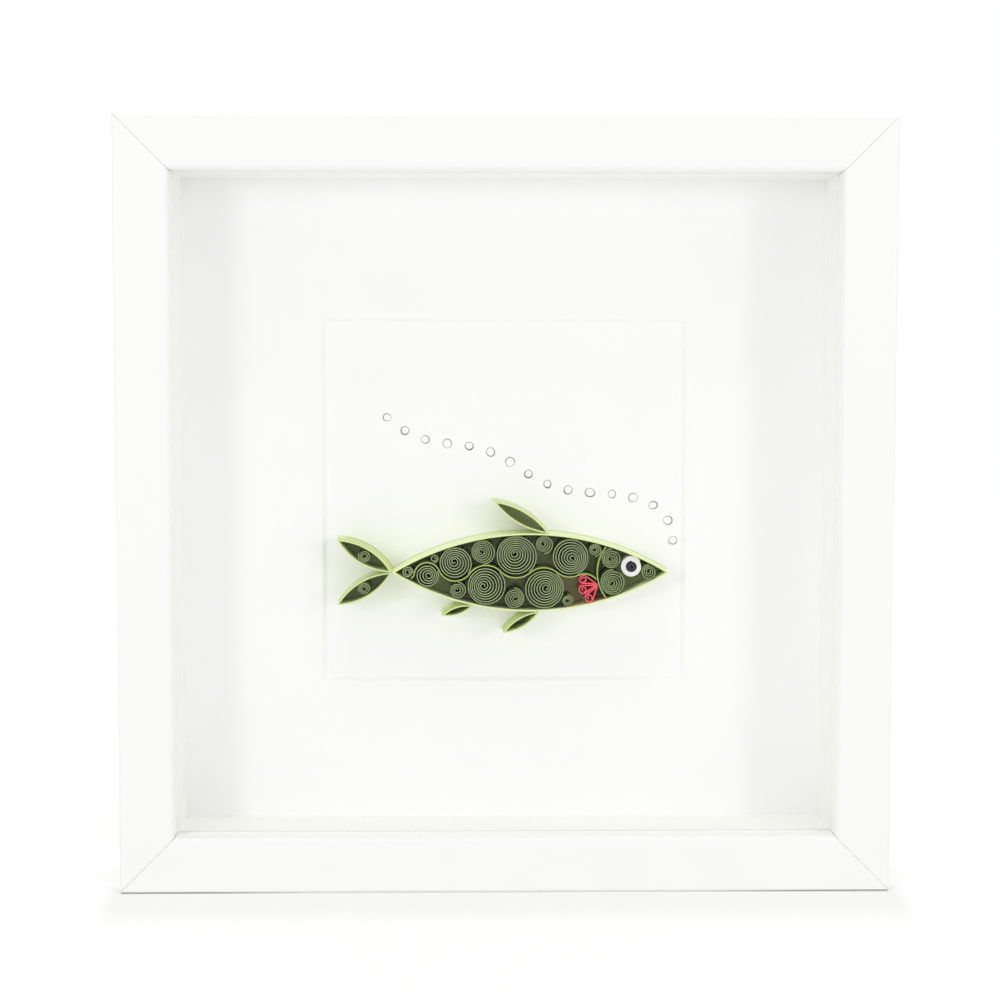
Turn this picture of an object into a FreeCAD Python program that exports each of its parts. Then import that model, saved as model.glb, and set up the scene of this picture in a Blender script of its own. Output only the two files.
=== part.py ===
import FreeCAD, Part
import math
import os

import Sketcher
from FreeCAD import Placement, Rotation, Vector

# A square box frame with a window mat, and a quilled paper fish that stands on the card in the window.
# X is the width, Z the height and Y the depth. The front looks along -Y, and the origin is the middle
# of the base. Depths are counted from the front face, and heights in the picture from its middle.

document = FreeCAD.newDocument("quilled_picture")

# Driving sizes, in millimetres and degrees
SIZES = [
    ("frame_side", "250", "outer side of the square frame"),
    ("frame_depth", "45", "front face to rear rim"),
    ("face_width", "17.5", "width of a rail seen from the front"),
    ("lip_depth", "9", "thickness of the lip in front of the glass"),
    ("wall_thick", "9.5", "outer wall behind the lip"),
    ("outer_round", "1", "round on the outer edges"),
    ("inner_round", "1.5", "round on the front inner edge"),
    ("edge_gap", "0.5", "space between a sheet's edge and the wall"),
    ("glass_thick", "2", "clear front pane"),
    ("spacer_depth", "22", "glass to mat, kept by the spacer slats"),
    ("spacer_gap", "1", "space between a spacer slat and the wall"),
    ("mat_thick", "1.4", "window mat"),
    ("mat_window", "120", "side of the window at its narrow rear edge"),
    ("mat_edge", "0.2", "square part of the window's cut edge"),
    ("card_thick", "0.4", "card that carries the fish"),
    ("board_thick", "3", "hardboard back"),
    ("point_thick", "0.5", "flat steel point"),
    ("point_wide", "8", "width of a point"),
    ("point_long", "14", "length of a point"),
    ("point_grip", "6", "length of a point inside the wall"),
    ("point_spread", "60", "point from the middle of its rail"),
    ("nail_thick", "0.6", "sheet of a corner nail"),
    ("nail_leg", "5", "leg of a corner nail"),
    ("nail_deep", "10", "corner nail into the wood"),
    ("nail_inset", "7", "bend of a corner nail from the outer faces"),
    ("hanger_drop", "42", "middle of the hanger below the top"),
    ("hanger_long", "50", "hanger plate"),
    ("hanger_wide", "16", "hanger plate"),
    ("hanger_thick", "1", "hanger plate"),
    ("hanger_rise", "2", "space behind the raised middle"),
    ("hanger_flat", "24", "length of the raised middle"),
    ("hanger_slope", "2", "run of each slope beside the middle"),
    ("hanger_corner", "4", "corner round of the plate"),
    ("keyhole_radius", "3.5", "round part of the keyhole"),
    ("keyslot_radius", "2", "half the width of its slot"),
    ("keyhole_drop", "3", "round part below the middle of the plate"),
    ("keyslot_rise", "4", "end of the slot above the middle of the plate"),
    ("rivet_spread", "19", "rivet from the middle of the plate"),
    ("rivet_radius", "1.5", "shank of a rivet"),
    ("rivet_head_radius", "2.8", "head of a rivet"),
    ("rivet_head_thick", "0.8", "head of a rivet"),
    ("rivet_clear", "0.05", "shank to the wall of its hole"),
    ("fish_shift", "8.5", "middle of the body to the right of the window's"),
    ("fish_drop", "23", "middle of the body below the window's"),
    ("base_thick", "0.3", "coloured card under the fish"),
    ("base_rim", "0.4", "coloured card past the outline"),
    ("strip_tall", "14", "outline, fin and tail strips, off the card"),
    ("fill_tall", "13.2", "rolls and stem, off the card"),
    ("outline_thick", "0.5", "strip of the body outline"),
    ("quill_thick", "0.4", "every other strip"),
    ("glue_gap", "0.1", "space between neighbouring strips"),
    ("body_long", "92", "nose to root of the tail"),
    ("body_high", "26", "back to belly"),
    ("gill_radius", "14", "curve of the gill strip"),
    ("gill_place", "24", "gill strip behind the nose"),
    ("eye_place", "12.5", "middle of the eye behind the nose"),
    ("eye_radius", "3.5", "white roll of the eye"),
    ("pupil_radius", "1.6", "dark core of the eye"),
    ("fan_radius", "4.8", "circle that holds the red fan"),
    ("petal_spread", "38", "turn from one petal of the fan to the next"),
    ("petal_taper", "17", "half the angle at a petal's tip"),
    ("last_roll", "2", "radius of the roll at the root of the tail"),
    ("large_pitch", "1.4", "turn to turn in a large roll"),
    ("small_pitch", "1", "turn to turn in a small roll"),
    ("petal_pitch", "0.85", "turn to turn in a petal"),
    ("tight_pitch", "0.64", "turn to turn in a roll too small for the others"),
    ("tight_limit", "2.5", "largest radius of such a roll"),
    ("roll_core", "0.35", "smallest bend of a strip"),
    ("stem_wrap", "50", "turn of the stem around the last roll"),
    ("tail_long", "21", "one lobe of the tail"),
    ("tail_high", "5.4", "one lobe of the tail"),
    ("tail_turn", "31", "lobe from the body's axis"),
    ("dorsal_long", "21", "fin on the back"),
    ("dorsal_high", "4.4", "fin on the back"),
    ("dorsal_place", "6", "front of that fin, ahead of the body's middle"),
    ("belly_long", "14", "front fin of the belly"),
    ("belly_high", "3.2", "front fin of the belly"),
    ("belly_place", "3", "front of that fin, ahead of the body's middle"),
    ("vent_long", "11", "rear fin of the belly"),
    ("vent_high", "2.7", "rear fin of the belly"),
    ("vent_place", "-19", "front of that fin, ahead of the body's middle"),
    ("fin_lift", "3", "turn of a fin away from the outline"),
]

# Counts and shares of the layout
LARGE_ROLLS = 7
ROLL_SHARES = (0.5, 0.7)
ROLL_LOOK_AHEAD = 0.9
ROLL_SIDES = 14
POINTS_PER_RAIL = (-1, 1)
QUARTER_TURN = 90
HALVINGS = 40
SAME_PLACE = 1e-6


class Length:
    """A size that is both a number and the sheet formula that gives it."""

    def __init__(self, value, formula):
        self.value = value
        self.formula = formula

    @staticmethod
    def of(term):
        """The term itself, or a plain number as a Length."""
        return term if isinstance(term, Length) else Length(float(term), repr(float(term)))

    def joined(self, sign, other, value):
        """This length and another term with a sign between them."""
        return Length(value, f"({self.formula} {sign} {other.formula})")

    def __add__(self, term):
        other = Length.of(term)
        return self.joined("+", other, self.value + other.value)

    def __sub__(self, term):
        other = Length.of(term)
        return self.joined("-", other, self.value - other.value)

    def __mul__(self, term):
        other = Length.of(term)
        return self.joined("*", other, self.value * other.value)

    def __truediv__(self, term):
        other = Length.of(term)
        return self.joined("/", other, self.value / other.value)

    def __neg__(self):
        return Length(-self.value, f"(-1 * {self.formula})")


def fill_sheet():
    """Writes every driving size in the sheet and hands the sizes back by name."""
    sheet = document.addObject("Spreadsheet::Sheet", "Sizes")
    found = {}
    for row, (alias, number, meaning) in enumerate(SIZES, start=1):
        sheet.set(f"A{row}", number)
        sheet.setAlias(f"A{row}", alias)
        sheet.set(f"B{row}", meaning)
        found[alias] = Length(float(number), f"Sizes.{alias}")
    document.recompute()
    return found


size = fill_sheet()
pieces = []


def bind(item, name, length):
    """Ties one property of an object to the sheet."""
    item.setExpression(name, Length.of(length).formula)


def keep(item, label):
    """Names an object as a piece of the picture."""
    item.Label = label
    pieces.append(item)
    return item


# Places that several pieces share
half_side = size["frame_side"] / 2
half_opening = half_side - size["face_width"]
half_rebate = half_side - size["wall_thick"]
half_sheet = half_rebate - size["edge_gap"]
front_y = -(size["frame_depth"] / 2)
glass_front = size["lip_depth"]
spacer_front = glass_front + size["glass_thick"]
mat_front = spacer_front + size["spacer_depth"]
card_front = mat_front + size["mat_thick"]
board_front = card_front + size["card_thick"]
board_back = board_front + size["board_thick"]
hanger_height = half_side - size["hanger_drop"]


# Bodies and sketches
def new_body(label, turn=0):
    """Starts a body whose local origin is the middle of the front face, turned about the depth."""
    body = document.addObject("PartDesign::Body", label)
    body.Placement = Placement(Vector(0, 0, 0), Rotation(Vector(0, 1, 0), turn))
    bind(body, "Placement.Base.y", front_y)
    bind(body, "Placement.Base.z", half_side)
    return keep(body, label)


def new_sketch(body, role, offset=None):
    """Starts a sketch on one of the body's own origin planes."""
    sketch = body.newObject("Sketcher::SketchObject", "Sketch")
    plane = [item for item in body.Origin.OriginFeatures if item.Role == role][0]
    sketch.AttachmentSupport = [(plane, "")]
    sketch.MapMode = "FlatFace"
    if offset is not None:
        bind(sketch, "AttachmentOffset.Base.z", offset)
    return sketch


def hold(sketch, kind, line, length):
    """Holds the start of a line, or the middle of a circle, at a distance from an axis."""
    corner = 3 if sketch.Geometry[line].TypeId == "Part::GeomCircle" else 1
    length = Length.of(length)
    if length.value == 0:
        axis = -2 if kind == "DistanceX" else -1
        sketch.addConstraint(Sketcher.Constraint("PointOnObject", line, corner, axis))
        return
    number = sketch.addConstraint(Sketcher.Constraint(kind, -1, 1, line, corner, length.value))
    bind(sketch, f"Constraints[{number}]", length)


def add_outline(sketch, corners):
    """Draws a closed outline of straight lines through corners given as pairs of lengths."""
    first = sketch.GeometryCount
    corners = [(Length.of(across), Length.of(along)) for across, along in corners]
    spots = [Vector(across.value, along.value, 0) for across, along in corners]
    for start, end in zip(spots, spots[1:] + spots[:1]):
        sketch.addGeometry(Part.LineSegment(start, end), False)
    for step, (across, along) in enumerate(corners):
        following = first + (step + 1) % len(corners)
        sketch.addConstraint(Sketcher.Constraint("Coincident", first + step, 2, following, 1))
        hold(sketch, "DistanceX", first + step, across)
        hold(sketch, "DistanceY", first + step, along)


def add_circle(sketch, across, along, radius):
    """Draws a circle whose middle and radius follow the sheet."""
    middle = Vector(Length.of(across).value, Length.of(along).value, 0)
    circle = sketch.addGeometry(Part.Circle(middle, Vector(0, 0, 1), radius.value), False)
    hold(sketch, "DistanceX", circle, across)
    hold(sketch, "DistanceY", circle, along)
    number = sketch.addConstraint(Sketcher.Constraint("Radius", circle, radius.value))
    bind(sketch, f"Constraints[{number}]", radius)


def add_box_outline(sketch, low_across, high_across, low_along, high_along):
    """Draws a rectangle from its four sides."""
    add_outline(
        sketch,
        [
            (low_across, low_along),
            (high_across, low_along),
            (high_across, high_along),
            (low_across, high_along),
        ],
    )


def pad(body, sketch, length, both_ways=False, reverse=False):
    """Raises a sketch into a solid."""
    feature = body.newObject("PartDesign::Pad", "Pad")
    feature.Profile = sketch
    bind(feature, "Length", length)
    if both_ways:
        feature.SideType = "Symmetric"
    feature.Reversed = reverse
    document.recompute()
    return feature


def cut(body, sketch, length=None, reverse=False):
    """Cuts a sketch to a length, or right through both ways, and makes sure that it cut."""
    before = body.Shape.Volume
    feature = body.newObject("PartDesign::Pocket", "Pocket")
    feature.Profile = sketch
    if length is None:
        feature.Type = "ThroughAll"
        feature.SideType = "Symmetric"
    else:
        bind(feature, "Length", length)
    feature.Reversed = reverse
    document.recompute()
    if not body.Shape.Volume < before:
        raise RuntimeError(f"a cut in {body.Label} removed nothing")
    return feature


def edges_at(shape, across=None, along=None, up=None):
    """Names the straight edges whose two ends lie at the given absolute X, Y or Z."""
    wanted = (across, along, up)
    names = []
    for number, edge in enumerate(shape.Edges, start=1):
        ends = [vertex.Point for vertex in edge.Vertexes]
        held = all(
            goal is None or all(abs(abs(end[axis]) - goal.value) < SAME_PLACE for end in ends)
            for axis, goal in enumerate(wanted)
        )
        if held:
            names.append(f"Edge{number}")
    return names


def local_shape(body):
    """The body's shape in its own frame, where the driving places are counted."""
    return body.Tip.Shape


def soften(body, kind, amount_name, names, amount):
    """Rounds or chamfers the named edges of the body's last feature."""
    base = body.Tip
    feature = body.newObject(kind, kind.split("::")[1])
    feature.Base = (base, names)
    bind(feature, amount_name, amount)
    document.recompute()
    return feature


def add_mitre_sketch(body, reach):
    """Draws what the two mitres take off a rail that lies along X below the middle."""
    sketch = new_sketch(body, "XZ_Plane")
    add_outline(sketch, [(0, 0), (reach, -reach), (reach, 0)])
    add_outline(sketch, [(0, 0), (-reach, 0), (-reach, -reach)])
    return sketch


# The rails of the frame
def nail_corners(side):
    """The bent section of a corner nail at the right (1) or left (-1) end of the bottom rail."""
    bend = half_side - size["nail_inset"]
    half_sheet_metal = size["nail_thick"] / 2
    inner = bend - half_sheet_metal
    outer = bend + half_sheet_metal
    tip = bend + size["nail_leg"]
    corners = [(inner, inner), (tip, inner), (tip, outer), (outer, outer), (outer, tip), (inner, tip)]
    return [(across * side, -along) for across, along in corners]


def make_rail(label, turn):
    """A rail of L section with mitred ends, slots for its points and slots for the corner nails."""
    body = new_body(label, turn)
    profile = new_sketch(body, "YZ_Plane")
    add_outline(
        profile,
        [
            (0, -half_side),
            (size["frame_depth"], -half_side),
            (size["frame_depth"], -half_rebate),
            (size["lip_depth"], -half_rebate),
            (size["lip_depth"], -half_opening),
            (0, -half_opening),
        ],
    )
    pad(body, profile, size["frame_side"], both_ways=True)
    shape = local_shape(body)
    front_outer = edges_at(shape, along=Length.of(0), up=half_side)
    rear_outer = edges_at(shape, along=size["frame_depth"], up=half_side)
    soften(body, "PartDesign::Fillet", "Radius", front_outer + rear_outer, size["outer_round"])
    front_inner = edges_at(local_shape(body), along=Length.of(0), up=half_opening)
    soften(body, "PartDesign::Fillet", "Radius", front_inner, size["inner_round"])
    cut(body, add_mitre_sketch(body, half_side))
    nails = new_sketch(body, "XZ_Plane", -size["frame_depth"])
    add_outline(nails, nail_corners(1))
    add_outline(nails, nail_corners(-1))
    cut(body, nails, size["nail_deep"], reverse=True)
    slots = new_sketch(body, "XY_Plane")
    for side in POINTS_PER_RAIL:
        middle = size["point_spread"] * side
        half_wide = size["point_wide"] / 2
        add_box_outline(
            slots, middle - half_wide, middle + half_wide, board_back, board_back + size["point_thick"]
        )
    cut(body, slots, half_rebate + size["point_grip"])
    return body


def make_spacer(label, turn):
    """A plain slat with mitred ends that holds the glass off the mat."""
    body = new_body(label, turn)
    profile = new_sketch(body, "YZ_Plane")
    back = half_rebate - size["spacer_gap"]
    add_box_outline(profile, spacer_front, mat_front, -back, -half_opening)
    pad(body, profile, back * 2, both_ways=True)
    cut(body, add_mitre_sketch(body, half_side))
    return body


def make_corner_nails(label):
    """The four bent nails that hold the mitres, driven in from behind."""
    nails = []
    for corner in range(4):
        corners = [(across.value, along.value) for across, along in nail_corners(1)]
        outline = Part.makePolygon([Vector(across, 0, along) for across, along in corners + corners[:1]])
        section = flat(Part.Face(outline))
        rear = Vector(0, -front_y.value, half_side.value)
        section.Placement = Placement(rear, Rotation(Vector(0, 1, 0), corner * QUARTER_TURN))
        nails.append(extrude(section, size["nail_deep"]))
    return keep(compound(nails), label)


# Sheets behind the lip
def make_sheet(label, depth, thick):
    """A square sheet as large as the space behind the lip allows."""
    sheet = document.addObject("Part::Box", label)
    bind(sheet, "Length", half_sheet * 2)
    bind(sheet, "Height", half_sheet * 2)
    bind(sheet, "Width", thick)
    bind(sheet, "Placement.Base.x", -half_sheet)
    bind(sheet, "Placement.Base.y", front_y + depth)
    bind(sheet, "Placement.Base.z", half_side - half_sheet)
    return keep(sheet, label)


def make_mat():
    """The window mat, with its cut edge sloping towards the front."""
    body = new_body("window_mat")
    square = new_sketch(body, "XZ_Plane", -mat_front)
    add_box_outline(square, -half_sheet, half_sheet, -half_sheet, half_sheet)
    pad(body, square, size["mat_thick"], reverse=True)
    half_window = size["mat_window"] / 2
    window = new_sketch(body, "XZ_Plane")
    add_box_outline(window, -half_window, half_window, -half_window, half_window)
    cut(body, window)
    shape = local_shape(body)
    rims = edges_at(shape, along=mat_front, up=half_window) + edges_at(shape, half_window, mat_front)
    soften(body, "PartDesign::Chamfer", "Size", rims, size["mat_thick"] - size["mat_edge"])
    return body


def make_board():
    """The hardboard back with its two rivet holes."""
    body = new_body("backing_board")
    square = new_sketch(body, "XZ_Plane", -board_front)
    add_box_outline(square, -half_sheet, half_sheet, -half_sheet, half_sheet)
    pad(body, square, size["board_thick"], reverse=True)
    holes = new_sketch(body, "XZ_Plane")
    for side in (-1, 1):
        radius = size["rivet_radius"] + size["rivet_clear"]
        add_circle(holes, size["rivet_spread"] * side, hanger_height, radius)
    cut(body, holes)
    return body


# Fasteners
def extrude(section, length, direction=Vector(0, -1, 0)):
    """Carries a flat section straight towards the front, or another way, to a length on the sheet."""
    solid = document.addObject("Part::Extrusion", "Solid")
    solid.Base = section
    solid.DirMode = "Custom"
    solid.Dir = direction
    solid.Solid = True
    bind(solid, "LengthFwd", length)
    return solid


def compound(items):
    """Groups separate solids."""
    group = document.addObject("Part::Compound", "Group")
    group.Links = items
    return group


def fuse(items):
    """Joins solids that touch into one."""
    joined = document.addObject("Part::MultiFuse", "Joined")
    joined.Shapes = items
    joined.Refine = True
    return joined


def make_points(label):
    """The flat steel points that hold the board, two in each wall."""
    points = []
    for turn in range(4):
        for side in POINTS_PER_RAIL:
            point = document.addObject("Part::Box", "Point")
            bind(point, "Length", size["point_wide"])
            bind(point, "Width", size["point_thick"])
            bind(point, "Height", size["point_long"])
            left = size["point_spread"] * side - size["point_wide"] / 2
            low = -(half_rebate + size["point_grip"])
            spin = Rotation(Vector(0, 1, 0), turn * QUARTER_TURN)
            corner = spin.multVec(Vector(left.value, (front_y + board_back).value, low.value))
            point.Placement = Placement(corner + Vector(0, 0, half_side.value), spin)
            points.append(point)
    return keep(compound(points), label)


def make_hanger():
    """The pressed plate with its keyhole, raised in the middle for a nail's head."""
    body = new_body("hanger_plate")
    profile = new_sketch(body, "XY_Plane", hanger_height)
    near = board_back
    far = board_back + size["hanger_rise"]
    thick = size["hanger_thick"]
    end = size["hanger_long"] / 2
    foot = size["hanger_flat"] / 2 + size["hanger_slope"]
    top = size["hanger_flat"] / 2
    right = [
        (top, far),
        (foot, near),
        (end, near),
        (end, near + thick),
        (foot + thick / 2, near + thick),
        (top + thick / 2, far + thick),
    ]
    left = [(-across, depth) for across, depth in reversed(right)]
    add_outline(profile, right + left)
    pad(body, profile, size["hanger_wide"], both_ways=True)
    shape = local_shape(body)
    low = edges_at(shape, across=end, up=hanger_height - size["hanger_wide"] / 2)
    high = edges_at(shape, across=end, up=hanger_height + size["hanger_wide"] / 2)
    soften(body, "PartDesign::Fillet", "Radius", low + high, size["hanger_corner"])
    holes = new_sketch(body, "XZ_Plane")
    round_height = hanger_height - size["keyhole_drop"]
    slot_height = hanger_height + size["keyslot_rise"]
    add_circle(holes, 0, round_height, size["keyhole_radius"])
    add_circle(holes, 0, slot_height, size["keyslot_radius"])
    for side in (-1, 1):
        radius = size["rivet_radius"] + size["rivet_clear"]
        add_circle(holes, size["rivet_spread"] * side, hanger_height, radius)
    cut(body, holes)
    slot = new_sketch(body, "XZ_Plane")
    half_slot = size["keyslot_radius"]
    add_box_outline(slot, -half_slot, half_slot, round_height, slot_height)
    cut(body, slot)
    return body


def make_rivets(label):
    """The two rivets of the hanger, flush with the front of the board."""
    rivets = []
    backwards = Rotation(Vector(1, 0, 0), -90)
    for side in (-1, 1):
        across = size["rivet_spread"] * side
        shank = document.addObject("Part::Cylinder", "Shank")
        bind(shank, "Radius", size["rivet_radius"])
        bind(shank, "Height", size["board_thick"] + size["hanger_thick"])
        head = document.addObject("Part::Cylinder", "Head")
        bind(head, "Radius", size["rivet_head_radius"])
        bind(head, "Height", size["rivet_head_thick"])
        for part, depth in ((shank, board_front), (head, board_back + size["hanger_thick"])):
            part.Placement = Placement(Vector(0, 0, 0), backwards)
            bind(part, "Placement.Base.x", across)
            bind(part, "Placement.Base.y", front_y + depth)
            bind(part, "Placement.Base.z", half_side + hanger_height)
        rivets.append(fuse([shank, head]))
    return keep(compound(rivets), label)


# Flat geometry of the quilled strips. A spot is a pair: along the body towards the nose, and up.
def value(name):
    """A driving size as a plain number."""
    return size[name].value


def dot_on(middle, radius, angle):
    """The spot at an angle on a circle."""
    return (middle[0] + radius * math.cos(angle), middle[1] + radius * math.sin(angle))


def angle_of(middle, spot):
    """The angle of a spot seen from a middle."""
    return math.atan2(spot[1] - middle[1], spot[0] - middle[0])


def between(first, second, share):
    """The spot a share of the way from the first to the second."""
    return tuple(start + (end - start) * share for start, end in zip(first, second))


class Bend:
    """One arc of a strip's middle line, from an angle through a signed sweep."""

    def __init__(self, middle, radius, start, sweep):
        self.middle = middle
        self.radius = radius
        self.start = start
        self.sweep = sweep

    def edge(self, side, thick):
        """The arc that bounds the strip on its left (1) or right (-1) side."""
        radius = self.radius - side * math.copysign(thick / 2, self.sweep)
        spots = [dot_on(self.middle, radius, self.start + self.sweep * share) for share in (0, 0.5, 1)]
        return arc_through(*spots)


class Wall:
    """A round face that a roll can touch, from outside or, where it is hollow, from inside."""

    def __init__(self, middle, radius, hollow=False):
        self.middle = middle
        self.radius = radius
        self.hollow = hollow

    def reach(self, roll_radius, gap):
        """How far the middle of a touching roll lies from the middle of this wall."""
        apart = roll_radius + gap
        return self.radius - apart if self.hollow else self.radius + apart

    def spare(self, middle, roll_radius, gap):
        """The room between this wall and a roll, less than nothing where they overlap."""
        away = math.dist(self.middle, middle)
        room = self.reach(roll_radius, gap) - away
        return room if self.hollow else -room


def meet(first, first_reach, second, second_reach, towards):
    """Where two circles meet, of the two spots the one further along a direction, or None."""
    apart = math.dist(first, second)
    along = (apart**2 + first_reach**2 - second_reach**2) / (2 * apart)
    off_squared = first_reach**2 - along**2
    if off_squared < 0:
        return None
    off = math.sqrt(off_squared)
    angle = angle_of(first, second)
    foot = dot_on(first, along, angle)
    spots = [dot_on(foot, off * sign, angle + math.pi / 2) for sign in (1, -1)]
    return max(spots, key=lambda spot: spot[0] * towards[0] + spot[1] * towards[1])


def seat(first, second, radius, towards, gap):
    """The middle of a roll that touches two walls."""
    first_reach = first.reach(radius, gap)
    return meet(first.middle, first_reach, second.middle, second.reach(radius, gap), towards)


def largest_roll(first, second, others, towards, limit, gap):
    """The middle and radius of the largest roll that touches two walls and clears the others."""
    low = 0
    high = limit
    best = None
    for _ in range(HALVINGS):
        radius = (low + high) / 2
        middle = seat(first, second, radius, towards, gap)
        if middle and all(other.spare(middle, radius, gap) >= 0 for other in others):
            low = radius
            best = (middle, radius)
        else:
            high = radius
    return best


# Solids of the quilled strips
fish_middle = (size["fish_shift"].value, (half_side - size["fish_drop"]).value)
base_front = front_y + card_front
strip_foot = base_front - size["base_thick"]


def point_at(spot, depth):
    """A spot of the flat geometry as a point of the model, at a Y."""
    return Vector(fish_middle[0] + spot[0], depth.value, fish_middle[1] + spot[1])


def arc_through(start, middle, end):
    """An arc of the flat geometry, kept as its three spots."""
    return ("arc", start, middle, end)


def line_between(start, end):
    """A straight edge of the flat geometry."""
    return ("line", start, end)


def backwards(edge):
    """The same edge from its other end."""
    return (edge[0],) + tuple(reversed(edge[1:]))


def make_face(edges, depth=strip_foot):
    """The flat face inside edges that follow each other."""
    drawn = []
    for kind, *spots in edges:
        points = [point_at(spot, depth) for spot in spots]
        drawn.append(Part.Arc(*points).toShape() if kind == "arc" else Part.makeLine(*points))
    return Part.Face(Part.Wire(drawn))


def strip_face(bends, thick):
    """The face of a strip on edge that follows bends which run smoothly into each other."""
    left = [bend.edge(1, thick) for bend in bends]
    right = [backwards(bend.edge(-1, thick)) for bend in reversed(bends)]
    caps = [line_between(left[-1][-1], right[0][1]), line_between(right[-1][-1], left[0][1])]
    return make_face(left + caps[:1] + right + caps[1:])


def roll_face(middle, radius, pitch, start, turn_way, thick):
    """The face of a roll that fills a circle, wound inwards from its outer end in short flats."""
    turns = (radius - thick - value("roll_core")) / pitch
    steps = max(1, int(turns * ROLL_SIDES))
    outer = []
    inner = []
    for step in range(steps + 1):
        angle = start + turn_way * 2 * math.pi * step / ROLL_SIDES
        reach = radius - pitch * step / ROLL_SIDES
        outer.append(dot_on(middle, reach, angle))
        inner.append(dot_on(middle, reach - thick, angle))
    spots = outer + inner[::-1]
    return make_face([line_between(*pair) for pair in zip(spots, spots[1:] + spots[:1])])


def leaf_edges(tip, angle, half_long, half_high, inset):
    """The two arcs of a leaf that starts at a tip, drawn in by an inset."""
    radius = (half_long**2 + half_high**2) / (2 * half_high)
    middle = dot_on(tip, half_long, angle)
    drop = radius - half_high
    reach = math.sqrt((radius - inset) ** 2 - drop**2)
    near = dot_on(middle, -reach, angle)
    far = dot_on(middle, reach, angle)
    upper = dot_on(middle, half_high - inset, angle + math.pi / 2)
    lower = dot_on(middle, half_high - inset, angle - math.pi / 2)
    return [arc_through(near, upper, far), arc_through(far, lower, near)]


def ring_face(outer, inner):
    """The face between two outlines."""
    return make_face(outer).cut(make_face(inner))


def petal_edges(tip, angle, radius, taper, inset):
    """The outline of a drop with its tip at a spot, drawn in by an inset."""
    middle = dot_on(tip, radius / math.sin(taper), angle)
    reach = radius - inset
    point = dot_on(middle, -reach / math.sin(taper), angle)
    side = math.pi / 2 + taper
    left = dot_on(middle, reach, angle + side)
    right = dot_on(middle, reach, angle - side)
    far = dot_on(middle, reach, angle)
    return [line_between(point, right), arc_through(right, far, left), line_between(left, point)]


def flat(face):
    """Puts a face in the document as the section of a solid."""
    section = document.addObject("Part::Feature", "Section")
    section.Shape = face
    return section


def stand(label, face, tall):
    """Stands a face up from the coloured card as a piece of the fish."""
    return keep(extrude(flat(face), tall), label)


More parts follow.
